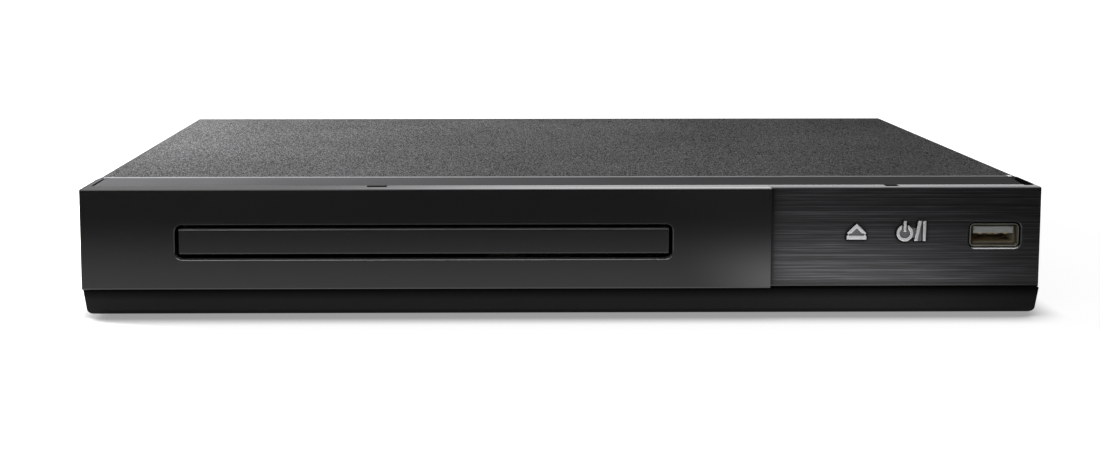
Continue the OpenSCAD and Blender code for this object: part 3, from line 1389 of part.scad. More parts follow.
module jack_block() color("#202123") place() difference() {
  blk([jack_spots[0] - 7, rear_y - 12, board_top], [jack_spots[2] + 7, rear_y, jack_z + 7]);
  for (x = jack_spots) {
    rod_y_dir(jack_hole_r - 0.15, [x, rear_y - 1.2, jack_z], 3);
    // sloping relief behind each jack
    blk([x - 4, rear_y - 13, jack_z + 2], [x + 4, rear_y - 9, jack_z + 8]);
  }
}
module jack_inserts() color("#d8b62c") place() for (x = jack_spots) difference() {
  union() {
    rod_y_dir(jack_hole_r - 0.15, [x, rear_y - 1.2, jack_z], rear_t + 2.2);
    rod_y_dir(jack_r - 0.5, [x, rear_y, jack_z], rear_t + jack_l);
  }
  rod_y_dir(1.65, [x, rear_y + 1, jack_z], rear_t + jack_l);
}
module jack_sleeves() color("#cfd1d3") place() for (x = jack_spots)
  translate([x, rear_y + rear_t + 1, jack_z]) rotate([-90, 0, 0]) tube(jack_r, jack_r - 0.5, jack_l);

pin_r = 1.2;
module figure8(r) {
  for (s = [-1, 1]) translate([s * inlet_pitch / 2, 0]) circle(r = r);
  translate([-inlet_pitch / 2, -r * 0.72]) square([inlet_pitch, r * 1.44]);
}
module mains_inlet() color("#1b1b1d") place() {
  front = rear_y + rear_t + inlet_flange;
  difference() {
    union() {
      along_y(rear_y - 15, rear_y + rear_t + eps)
        translate([inlet_x, inlet_z]) square(inlet_box, center = true);
      along_y(rear_y + rear_t, front) translate([inlet_x, inlet_z]) rrect([-12.4, -7.6], [12.4, 7.6], 2);
    }
    along_y(front - inlet_d, front + 1) translate([inlet_x, inlet_z]) figure8(inlet_r);
    for (s = [-1, 1]) rod_y_dir(pin_r, [inlet_x + s * inlet_pitch / 2, rear_y - 16, inlet_z], 8);
  }
}
module inlet_pins() color("#c9cbcd") place() for (s = [-1, 1])
  rod_y_dir(pin_r, [inlet_x + s * inlet_pitch / 2, rear_y - 17, inlet_z], 17 + rear_t - 1);

bottom_case();
top_cover();
rear_panel();
front_panel();
left_fascia();
right_fascia();
rubber_feet();
cover_screws();
eject_button();
eject_lever();
power_button();
power_lever();
front_board();
tact_switches();
ir_receiver();
standby_led();
front_ribbon();
usb_shell();
usb_tongue();
usb_contacts();
loader_frame();
disc_tray();
tray_door();
clamper_bridge();
clamper();
clamper_magnet();
loading_motor();
motor_pulley();
drive_belt();
pulley_gear();
drive_gear();
cam_slider();
loader_board();
loader_ribbon();
loader_screws();
lift_frame();
damper_bushes();
bush_screws();
traverse_deck();
guide_rods();
rod_holders();
spindle_motor();
turntable();
sled_motor();
lead_screw();
pickup_body();
lens_holder();
objective_lens();
main_board();
main_chips();
capacitors();
power_board();
transformer();
heat_sink();
fuse();
jack_block();
jack_inserts();
jack_sleeves();
mains_inlet();
inlet_pins();
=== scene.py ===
"""Looks for a slim DVD player: finishes for every CAD node, small fitted pieces, light and camera."""

import math

import bmesh
import bpy
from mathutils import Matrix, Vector


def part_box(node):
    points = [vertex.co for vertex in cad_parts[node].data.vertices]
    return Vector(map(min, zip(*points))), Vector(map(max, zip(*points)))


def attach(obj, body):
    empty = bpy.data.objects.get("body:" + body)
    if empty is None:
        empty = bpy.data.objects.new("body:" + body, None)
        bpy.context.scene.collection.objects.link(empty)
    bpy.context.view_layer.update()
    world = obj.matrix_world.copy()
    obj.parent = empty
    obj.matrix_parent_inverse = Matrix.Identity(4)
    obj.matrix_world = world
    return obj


MM = 0.001
WHITE = (1, 1, 1, 1)
SOFT = "SMOOTHSTEP"

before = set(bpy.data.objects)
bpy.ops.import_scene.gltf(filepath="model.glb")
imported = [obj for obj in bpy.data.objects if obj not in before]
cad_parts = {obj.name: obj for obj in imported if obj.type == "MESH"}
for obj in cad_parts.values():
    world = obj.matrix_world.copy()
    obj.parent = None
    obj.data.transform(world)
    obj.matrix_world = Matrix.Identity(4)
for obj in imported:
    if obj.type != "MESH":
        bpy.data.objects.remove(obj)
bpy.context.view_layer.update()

# places that finishes and fitted pieces follow, from the CAD nodes' boxes
front_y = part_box("left_fascia")[0].y
chin_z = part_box("left_fascia")[0].z
strip_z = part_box("front_panel")[1].z
cover_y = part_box("top_cover")[0].y
side_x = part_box("top_cover")[1].x
usb_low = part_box("usb_shell")[0]
key_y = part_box("eject_button")[0].y
main_low, main_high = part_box("main_board")
power_low, power_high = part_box("power_board")
lead_y = main_low.y + 98 * MM


# ---- colours and node trees ----

def srgb(code):
    """A hex colour as the linear RGBA that a shader takes."""
    values = [int(code[i:i + 2], 16) / 255 for i in (1, 3, 5)]
    return [v / 12.92 if v <= 0.04045 else ((v + 0.055) / 1.055) ** 2.4 for v in values] + [1.0]


def per(mm):
    """The scale of a pattern on Object coordinates whose cells are this many millimetres wide."""
    return 1 / (mm * MM)


def add(tree, kind, settings=None, out=0, **links):
    """Adds a node and gives one of its outputs. A setting is an attribute, an input's value, or the stops of a
    colour ramp as (place, hex colour). A link is the output that an input takes; i and a number stand for an
    input that has no name of its own."""
    node = tree.nodes.new(kind if "Node" in kind else "ShaderNode" + kind)
    for name, value in (settings or {}).items():
        if name == "stops":
            elements = node.color_ramp.elements
            while len(elements) < len(value):
                elements.new(0.5)
            for element, (place, code) in zip(elements, value):
                element.position = place
                element.color = srgb(code)
        elif isinstance(name, int) or name in node.inputs:
            node.inputs[name].default_value = value
        else:
            setattr(node, name, value)
    for name, socket in links.items():
        key = int(name[1:]) if name[0] == "i" and name[1:].isdigit() else name.replace("_", " ")
        tree.links.new(socket, node.inputs[key])
    return node.outputs[out] if node.outputs else None


def blank(name):
    """A new material with an empty node tree."""
    material = bpy.data.materials.new(name)
    material.use_nodes = True
    material.node_tree.nodes.clear()
    return material


def finish(name, build, **fixed):
    """A material whose principled shader has these fixed sockets; build links the patterns."""
    material = blank(name)
    tree = material.node_tree
    settings = {socket.replace("_", " "): value for socket, value in fixed.items()}
    add(tree, "OutputMaterial", Surface=add(tree, "BsdfPrincipled", settings, **build(tree)))
    return material


def pattern(tree, cells, detail=2.0, stretch=(1, 1, 1), place=(0, 0, 0), kind="TexNoise", **settings):
    """A noise on Object coordinates with cells of this many millimetres, longer where stretch is over 1."""
    if kind == "TexNoise":
        settings["Detail"] = detail
    scale = [per(cells) / s for s in stretch]
    here = add(tree, "TexCoord", out="Object")
    mapped = add(tree, "Mapping", {"Scale": scale, "Location": place}, Vector=here)
    return add(tree, kind, {"Scale": 1.0, **settings}, Vector=mapped)


def edge_mask(tree, radius):
    """1 on edges and corners within the radius in millimetres, 0 on flats, by the cosine between the surface's
    own normal and a rounded one."""
    rounded = add(tree, "Bevel", {"samples": 6, "Radius": radius * MM})
    flat = add(tree, "NewGeometry", out="Normal")
    agree = add(tree, "VectorMath", {"operation": "DOT_PRODUCT"}, "Value", i0=rounded, i1=flat)
    return add(tree, "MapRange", {"From Min": 0.995, "From Max": 0.86}, Value=agree)


def turned(tree, axis, start, end, normal=None):
    """0 to 1 as the surface's own normal, or the one given, turns along an axis from start to end."""
    part = add(tree, "SeparateXYZ", None, axis, i0=normal or add(tree, "NewGeometry", out="Normal"))
    return add(tree, "MapRange", {"From Min": start, "From Max": end}, Value=part)


def placed(tree, axis, start, end, low=0.0, high=1.0, ease="LINEAR"):
    """low to high as the place on the piece goes from start to end along an axis, in metres."""
    part = add(tree, "SeparateXYZ", None, axis, i0=add(tree, "TexCoord", out="Object"))
    return add(tree, "MapRange", {"From Min": start, "From Max": end, "To Min": low, "To Max": high,
                                  "interpolation_type": ease}, Value=part)


def product(tree, first, *others):
    """Masks or strengths multiplied: 1 only where all of them are."""
    for other in others:
        first = add(tree, "Math", {"operation": "MULTIPLY"}, i0=first, i1=other)
    return first


def coated(tree, base, *coats):
    """A base colour under coats of (where it lies, its colour), the lowest first. Each colour is a hex code
    or an output."""
    for where, colour in coats:
        settings, links = {"data_type": "RGBA"}, {"i0": where}
        for index, shade in ((6, base), (7, colour)):
            if isinstance(shade, str):
                settings[index] = srgb(shade)
            else:
                links[f"i{index}"] = shade
        base = add(tree, "Mix", settings, 2, **links)
    return base


def relief(tree, height, depth, rounding, strength=1.0, samples=6):
    """The normal of a surface with relief of this depth and edges rounded by this radius, in millimetres."""
    rounded = add(tree, "Bevel", {"samples": samples, "Radius": rounding * MM})
    return add(tree, "Bump", {"Strength": strength, "Distance": depth * MM}, Height=height, Normal=rounded)


# ---- finishes ----

def moulded(name, dark, light, roughness, grain=0.35, depth=0.012, edge="#5a5b5e", rub=0.22, rounding=0.25,
            ior=1.53):
    """Moulded ABS or similar: a fine spark-eroded grain, slow shading from the mould, edges painted paler as
    wear and as a painted highlight. The grain is really finer than 0.1 mm, and is drawn as coarse as it needs
    to show."""
    def build(tree):
        fine = pattern(tree, grain)
        body = add(tree, "ValToRGB", {"stops": [(0.3, dark), (0.7, light)]}, Fac=pattern(tree, 28, 3))
        # paler edges: partly wear, partly a painted highlight
        edge_wear_and_highlight = add(tree, "Math", {"operation": "MULTIPLY", 1: rub}, i0=edge_mask(tree, rounding))
        dull = {"To Min": roughness * 0.85, "To Max": min(1, roughness * 1.15)}
        return {
            "Base Color": coated(tree, body, (edge_wear_and_highlight, edge)),
            "Roughness": add(tree, "MapRange", dull, Value=fine),
            "Normal": relief(tree, fine, depth, rounding),
        }
    return finish(name, build, IOR=ior)


def sheet_metal(name, dark, light, roughness, length=14.0, width=0.25, axis=0, depth=0.004):
    """Rolled or turned metal: fine lines along the rolling direction, slight tarnish in clouds. The lines are
    drawn some times wider than real ones, so that they show."""
    stretch = [1.0, 1.0, 1.0]
    stretch[axis] = length / width

    def build(tree):
        lines = pattern(tree, width, 3, stretch)
        tarnish = product(tree, lines, pattern(tree, 18, 3))
        dull = {"To Min": roughness * 0.75, "To Max": roughness * 1.3}
        return {
            "Base Color": add(tree, "ValToRGB", {"stops": [(0.12, dark), (0.42, light)]}, Fac=tarnish),
            "Roughness": add(tree, "MapRange", dull, Value=lines),
            "Normal": relief(tree, lines, depth, 0.12),
        }
    return finish(name, build, Metallic=1.0)


def cover_paint():
    """Textured black powder coat on steel: fine hard grains, painted in pale and dark spots as a painted
    sparkle.
    The top is painted paler than the flanges as painted light, the folded front edge has a painted highlight,
    and the fold's cut end on the right is bare steel painted white as a painted glint."""
    lit_top_stops = [(0.43, "#282828"), (0.575, "#484848"), (0.72, "#7a7a7b")]
    shaded_side_stops = [(0.43, "#1b1b1c"), (0.575, "#2c2c2d"), (0.72, "#5a5b5d")]

    def build(tree):
        # grains of 0.2 mm, drawn longer front to back so that they still read at a low angle
        grains = pattern(tree, 0.2, 1, (1, 3.5, 1))
        clumps = pattern(tree, 0.9, 2, (1, 2, 1))
        mixed = add(tree, "Math", {"operation": "MULTIPLY_ADD", 1: 0.15}, i0=clumps, i2=grains)
        grain = add(tree, "ValToRGB", {"stops": lit_top_stops}, Fac=mixed)
        cloud = pattern(tree, 45, 3)
        tone = add(tree, "ValToRGB", {"stops": [(0.3, "#e8e8e8"), (0.7, "#ffffff")]}, Fac=cloud)
        top = add(tree, "Mix", {"data_type": "RGBA", "blend_type": "MULTIPLY", 0: 1.0}, 2, i6=grain, i7=tone)
        # painted light: the top is painted paler than the flanges, which are painted darker as painted shade
        shaded_flanges = add(tree, "ValToRGB", {"stops": shaded_side_stops}, Fac=mixed)
        # painted highlight: the front-facing rounding of the fold is painted pale grey
        fold_highlight = product(tree, placed(tree, "Y", cover_y + 1.8 * MM, cover_y + 1.2 * MM),
                       turned(tree, "Z", 0.1, 0.3))
        # painted glint: the fold's cut end on the right, bare steel, is painted white
        end = product(tree, placed(tree, "X", side_x - 2.5 * MM, side_x - 2.3 * MM),
                      placed(tree, "X", side_x - 1.0 * MM, side_x - 1.2 * MM),
                      placed(tree, "Y", cover_y + 2.8 * MM, cover_y + 2.4 * MM),
                      turned(tree, "Z", -0.2, 0.1))
        return {
            "Base Color": coated(tree, shaded_flanges, (turned(tree, "Z", 0.3, 0.8), top), (fold_highlight, "#989899"),
                                 (end, "#ffffff")),
            "Roughness": add(tree, "MapRange", {"To Min": 0.6, "To Max": 0.8}, Value=grains),
            "Normal": relief(tree, mixed, 0.06, 0.3, 0.6),
        }
    return finish("powder_coated_steel", build, IOR=1.5, Specular_IOR_Level=0.0)


def silver_foil(tree, start):
    """Where the satin silver foil lies on a fascia's top return, from start mm behind the left fascia's face
    on, and
    its colour: painted highlights make it paler along both cut edges, the front one only from the middle on."""
    where = product(tree, turned(tree, "Z", 0.8, 0.95),
                    placed(tree, "Z", strip_z - 0.4 * MM, strip_z - 0.3 * MM),
                    placed(tree, "Y", front_y + (start - 0.1) * MM, front_y + start * MM))
    plain = add(tree, "ValToRGB", {"stops": [(0.3, "#7b7c7e"), (0.7, "#8a8b8d")]},
                Fac=pattern(tree, 0.3, 2, (60, 1, 1)))
    # painted highlights along the foil's rear and front cut edges
    rear = placed(tree, "Y", front_y + 6.8 * MM, front_y + 7.2 * MM)
    front = product(tree, placed(tree, "Y", front_y + 3 * MM, front_y + 2.6 * MM),
                    placed(tree, "X", -90 * MM, 10 * MM))
    return where, coated(tree, plain, (rear, "#c6c7c9"), (front, "#d8d9db"))


def gloss_black():
    """Piano-black ABS: a mirror-smooth face with a trace of mould flow, a satin silver foil on its top return,
    and a painted highlight on the up-facing lip under the tray."""
    def build(tree):
        flow = pattern(tree, 60)
        body = add(tree, "ValToRGB", {"stops": [(0.3, "#161617"), (0.7, "#1a1a1b")]}, Fac=flow)
        top, foil = silver_foil(tree, 1.3)
        # painted highlight: up-facing faces below the top, such as the lip under the tray, are painted pale
        # grey
        lip_highlight = product(tree, turned(tree, "Z", 0.3, 0.5),
                      placed(tree, "Z", strip_z - 1 * MM, strip_z - 1.1 * MM))
        haze = add(tree, "MapRange", {"To Min": 0.05, "To Max": 0.11}, Value=pattern(tree, 6, 4, (3, 1, 1)))
        return {
            "Base Color": coated(tree, body, (top, foil), (lip_highlight, "#77787a")),
            "Metallic": top,
            "Roughness": add(tree, "Mix", {"data_type": "FLOAT", 3: 0.16}, i0=top, i2=haze),
            "Normal": relief(tree, flow, 0.02, 0.12, 0.35, samples=8),
        }
    return finish("gloss_black_abs", build, IOR=1.5)


def case_plastic():
    """The lower case: matt black ABS with a spark-eroded grain, with painted shade that makes it almost black
    just under the fascias.
    """
    def build(tree):
        fine = pattern(tree, 0.45)
        cloud = pattern(tree, 28, 3)
        body = add(tree, "ValToRGB", {"stops": [(0.3, "#111112"), (0.7, "#151516")]}, Fac=cloud)
        # painted shade: the case is painted almost black, with less sheen, just under the fascias' overhang
        under = product(tree, placed(tree, "Z", chin_z - 3 * MM, chin_z - 0.1 * MM),
                        placed(tree, "Y", front_y + 5 * MM, front_y + 4.5 * MM))
        return {
            "Base Color": coated(tree, body, (under, "#020202")),
            "Roughness": add(tree, "MapRange", {"To Min": 0.52, "To Max": 0.68}, Value=fine),
            "Normal": relief(tree, fine, 0.02, 0.4),
            "Specular IOR Level": add(tree, "MapRange", {"To Min": 0.15, "To Max": 0.03}, Value=under),
        }
    return finish("matt_black_abs", build, Specular_IOR_Level=0.15)


def strip_plastic():
    """Satin ABS of the carrier behind the fascias: its strip before the cover is smooth and painted grey-black
    with no sheen of its own, a painted reflection that is paler towards the left, while the slits, the wedge
    at its right end and the walls round the tray stay black; below the top, that black is painted shade."""
    wedge_x, lean = 131.2 * MM, 0.1

    def build(tree):
        fine = pattern(tree, 0.5)
        cloud = pattern(tree, 35, 3)
        walls = add(tree, "ValToRGB", {"stops": [(0.3, "#151516"), (0.7, "#19191a")]}, Fac=cloud)
        strip = add(tree, "ValToRGB", {"stops": [(0.3, "#545455"), (0.7, "#5a5a5b")]}, Fac=cloud)
        deep = placed(tree, "Z", strip_z - 0.15 * MM, strip_z - 0.3 * MM)
        # the wedge at the right end starts at a line that slants outwards to the rear
        slant = add(tree, "VectorMath", {"operation": "DOT_PRODUCT", 1: (1.0, -lean, 0.0)}, "Value",
                    i0=add(tree, "TexCoord", out="Object"))
        start = wedge_x - lean * front_y
        wedge = add(tree, "MapRange", {"From Min": start, "From Max": start + 0.1 * MM}, Value=slant)
        # painted shade: faces over 0.15 mm below the strip's top, the slits and the walls round the tray, are
        # painted near black, and so is the wedge at the right end
        hidden = add(tree, "Math", {"operation": "MAXIMUM"}, i0=deep, i1=wedge)
        inner = product(tree, placed(tree, "X", side_x - 0.2 * MM, side_x - 0.4 * MM),
                        placed(tree, "X", 0.2 * MM - side_x, 0.4 * MM - side_x))
        # painted light: the grey strip is painted paler towards the left, darkening up to 40 mm right of the
        # middle
        shade = placed(tree, "X", -100 * MM, 40 * MM)
        outside = coated(tree, strip, (shade, "#444445"), (hidden, "#09090a"))
        return {
            "Base Color": coated(tree, walls, (inner, outside)),
            "Roughness": add(tree, "MapRange", {"To Min": 0.5, "To Max": 0.62}, Value=fine),
            "Normal": relief(tree, fine, 0.006, 0.3),
            # no sheen within the ends: the painted grey stands in for the strip's reflection
            "Specular IOR Level": add(tree, "MapRange", {"To Min": 0.25, "To Max": 0.0}, Value=inner),
        }
    return finish("satin_black_abs", build, Specular_IOR_Level=0.1)


def gloss_door():
    """Gloss-black ABS of the tray's door, like the face round it, with a painted highlight on its rounded top
    edge."""
    def build(tree):
        flow = pattern(tree, 40)
        haze = pattern(tree, 5, 4, (3, 1, 1))
        rounded = add(tree, "Bevel", {"samples": 8, "Radius": 0.4 * MM})
        body = add(tree, "ValToRGB", {"stops": [(0.3, "#151516"), (0.7, "#19191a")]}, Fac=flow)
        return {
            # painted highlight: the up-facing rounding of the top edge is painted pale grey
            "Base Color": coated(tree, body, (turned(tree, "Z", 0.2, 0.55, rounded), "#a2a3a5")),
            "Roughness": add(tree, "MapRange", {"To Min": 0.1, "To Max": 0.2}, Value=haze),
            "Normal": add(tree, "Bump", {"Strength": 0.3, "Distance": 0.02 * MM}, Height=flow,
                          Normal=rounded),
        }
    return finish("gloss_door_abs", build, IOR=1.5)


def brushed_black():
    """Black anodised aluminium, brushed along its length: straight fine hairs of uneven strength, and a sheen
    drawn out upwards. It has painted shade close under a step and round the keys and the socket, and painted
    highlights on the lip under the USB socket and faintly along its foot."""
    def build(tree):
        # hairs 14 mm long among lines that run the whole length, both drawn at 0.3 mm so that they show
        hairs = pattern(tree, 0.3, 2, (45, 1, 1))
        lines = pattern(tree, 0.34, 3, (400, 1, 1), (0, 0, 0.3))
        both = add(tree, "Math", {"operation": "MULTIPLY_ADD", 1: 0.5}, i0=hairs, i2=lines)
        rounded = add(tree, "Bevel", {"samples": 6, "Radius": 0.2 * MM})
        body = add(tree, "ValToRGB", {"stops": [(0.5, "#1d1d1e"), (0.75, "#353537"), (1.0, "#58585b")]},
                   Fac=both)
        # painted shade by ambient occlusion, 1 in a corner and 0 in the open: within 7 mm of a step, and
        # within 1.5 mm of a key or the socket
        step, ring = [
            add(tree, "MapRange", {"From Min": hemmed_in, "From Max": free, "To Min": 1.0, "To Max": 0.0},
                Value=add(tree, "AmbientOcclusion", {"samples": 8, "Distance": reach * MM}, "AO"))
            for reach, hemmed_in, free in ((7, 0.55, 0.97), (1.5, 0.76, 0.98))]
        # painted highlights: the up-facing lip under the USB socket, and faintly the plate's foot
        lip_highlight = product(tree, turned(tree, "Z", 0.62, 0.9, rounded),
                      placed(tree, "X", usb_low.x - 2.5 * MM, usb_low.x - 2.3 * MM),
                      placed(tree, "Z", usb_low.z + 0.15 * MM, usb_low.z + 0.05 * MM))
        foot = placed(tree, "Z", chin_z + 0.8 * MM, chin_z + 0.6 * MM)
        lip_and_foot_highlight = add(tree, "Math", {"operation": "MULTIPLY_ADD", 1: 0.1, "use_clamp": True}, i0=foot, i2=lip_highlight)
        top, foil = silver_foil(tree, 3.7)
        sheen = add(tree, "MapRange", {"To Min": 0.34, "To Max": 0.28}, Value=both)
        return {
            "Base Color": coated(tree, body, (step, "#030303"), (ring, "#020202"), (lip_and_foot_highlight, "#d4d4d5"),
                                 (top, foil)),
            "Roughness": add(tree, "Mix", {"data_type": "FLOAT", 3: 0.2}, i0=top, i2=sheen),
            "Normal": add(tree, "Bump", {"Strength": 0.5, "Distance": 0.008 * MM}, Height=both,
                          Normal=rounded),
        }
    return finish("black_brushed_aluminium", build, Metallic=0.6, Anisotropic=0.5)


def satin_nickel():
    """Nickel-plated keys: soft satin metal on the raised rims, the sunk faces painted darker as painted shade.
    """
    def build(tree):
        grain = pattern(tree, 0.25, 3)
        # painted shade: faces sunk more than 0.2 mm behind the keys' fronts are painted darker
        sunk = placed(tree, "Y", key_y + 0.2 * MM, key_y + 0.3 * MM)
        plate = add(tree, "ValToRGB", {"stops": [(0.3, "#bcbcbd"), (0.7, "#d8d8d9")]}, Fac=grain)
        sunk_shade = add(tree, "ValToRGB", {"stops": [(0.3, "#5e5e60"), (0.7, "#727274")]}, Fac=grain)
        return {
            "Base Color": coated(tree, plate, (sunk, sunk_shade)),
            "Roughness": add(tree, "MapRange", {"To Min": 0.32, "To Max": 0.46}, Value=grain),
            "Normal": relief(tree, grain, 0.004, 0.28, 0.6),
        }
    return finish("satin_nickel_plate", build, Metallic=0.75)


def socket_steel():
    """Tinned steel of the USB socket's shell: grey on the rim of its mouth, dark brown just inside, and
    painted pale brown and less metallic deeper in, as painted light and a painted reflection of the gilt
    contacts."""
    def build(tree):
        lines = pattern(tree, 0.2, 3, (30, 1, 1))
        rim, deep, near = [add(tree, "ValToRGB", {"stops": [(0.3, dark), (0.7, light)]}, Fac=lines)
                           for dark, light in (("#716f66", "#959388"), ("#bab29e", "#e4dcc8"),
                                               ("#25221b", "#3d382e"))]
        # painted light: deeper than 1 mm the shell is painted pale brown and made less metallic, standing for
        # light and the gilt contacts' reflection
        start, end = usb_low.y + 1 * MM, usb_low.y + 2 * MM
        return {
            "Base Color": coated(tree, near, (placed(tree, "Y", start, end), deep),
                                 (turned(tree, "Y", -0.8, -0.97), rim)),
            "Metallic": placed(tree, "Y", start, end, 0.8, 0.1),
            "Roughness": add(tree, "MapRange", {"To Min": 0.3, "To Max": 0.45}, Value=lines),
            "Normal": relief(tree, lines, 0.004, 0.12),
        }
    return finish("tinned_steel_shell", build)


def solder_masked(name, mask, copper, hole="#0f1512"):
    """Circuit board: solder mask over copper tracks, which stand out a little paler in straight bundles that
    run along the board in some fields and across it in others, with drilled vias."""
    # tracks 1.4 mm apart, each jogging over to the next about every 15 mm
    bundle = {"Scale": per(1), "Mortar Size": 0.16, "Mortar Smooth": 0.1, "Brick Width": 15.0,
              "Row Height": 1.4, "offset": 0.37, "offset_frequency": 3}

    def build(tree):
        here = add(tree, "TexCoord", out="Object")
        along, across = [
            add(tree, "TexBrick", bundle, "Fac",
                Vector=add(tree, "Mapping", {"Rotation": (0, 0, turn)}, Vector=here))
            for turn in (0.0, math.pi / 2)]
        fields, free, vias = [
            add(tree, "ValToRGB", {"stops": [(start, below), (end, above)]}, Fac=cells)
            for start, end, below, above, cells in (
                (0.49, 0.51, "#000000", "#ffffff", pattern(tree, 16, 0)),
                (0.44, 0.46, "#000000", "#ffffff", pattern(tree, 9, 1)),
                (0.08, 0.1, "#ffffff", "#000000", pattern(tree, 3.2, kind="TexVoronoi", Randomness=0.9)))]
        tracks = product(tree, coated(tree, along, (fields, across)), free)
        fine = pattern(tree, 0.5, 3)
        return {
            "Base Color": coated(tree, mask, (tracks, copper), (vias, hole)),
            "Roughness": add(tree, "MapRange", {"To Min": 0.3, "To Max": 0.42}, Value=fine),
            "Normal": add(tree, "Bump", {"Strength": 0.6, "Distance": 0.03 * MM}, Height=tracks),
        }
    return finish(name, build, IOR=1.55)


def flat_cable():
    """Flat flexible cable: white polyester film over parallel tinned conductors, 1 mm apart."""
    def build(tree):
        strands = pattern(tree, 1.0, kind="TexWave", bands_direction="X")
        dust = pattern(tree, 3, 3)
        return {
            "Base Color": add(tree, "ValToRGB", {"stops": [(0.2, "#c9ccce"), (0.6, "#eceded")]},
                              Fac=strands),
            "Roughness": add(tree, "MapRange", {"To Min": 0.3, "To Max": 0.45}, Value=dust),
            "Normal": add(tree, "Bump", {"Strength": 0.8, "Distance": 0.08 * MM}, Height=strands),
        }
    return finish("polyester_flat_cable", build, IOR=1.57)


def winding_tape():
    """Yellow polyester tape round a transformer's windings, ridged by the turns of wire below it."""
    def build(tree):
        turns = pattern(tree, 0.5, kind="TexWave", bands_direction="Z", Distortion=0.4)
        smudge = pattern(tree, 4, 3)
        return {
            "Base Color": add(tree, "ValToRGB", {"stops": [(0.2, "#b58a2c"), (0.7, "#e0b955")]}, Fac=turns),
            "Roughness": add(tree, "MapRange", {"To Min": 0.35, "To Max": 0.5}, Value=smudge),
            "Normal": add(tree, "Bump", {"Strength": 0.5, "Distance": 0.03 * MM}, Height=turns),
        }
    return finish("yellow_polyester_tape", build, IOR=1.5)


def clear(name, tint, roughness, ior, transmission):
    """Glass or clear plastic, one tint all through, with faint dust that dulls it in places."""
    def build(tree):
        dull = {"To Min": roughness, "To Max": roughness * 2}
        return {"Roughness": add(tree, "MapRange", dull, Value=pattern(tree, 0.6, 3))}
    return finish(name, build, Base_Color=srgb(tint), IOR=ior, Transmission_Weight=transmission)


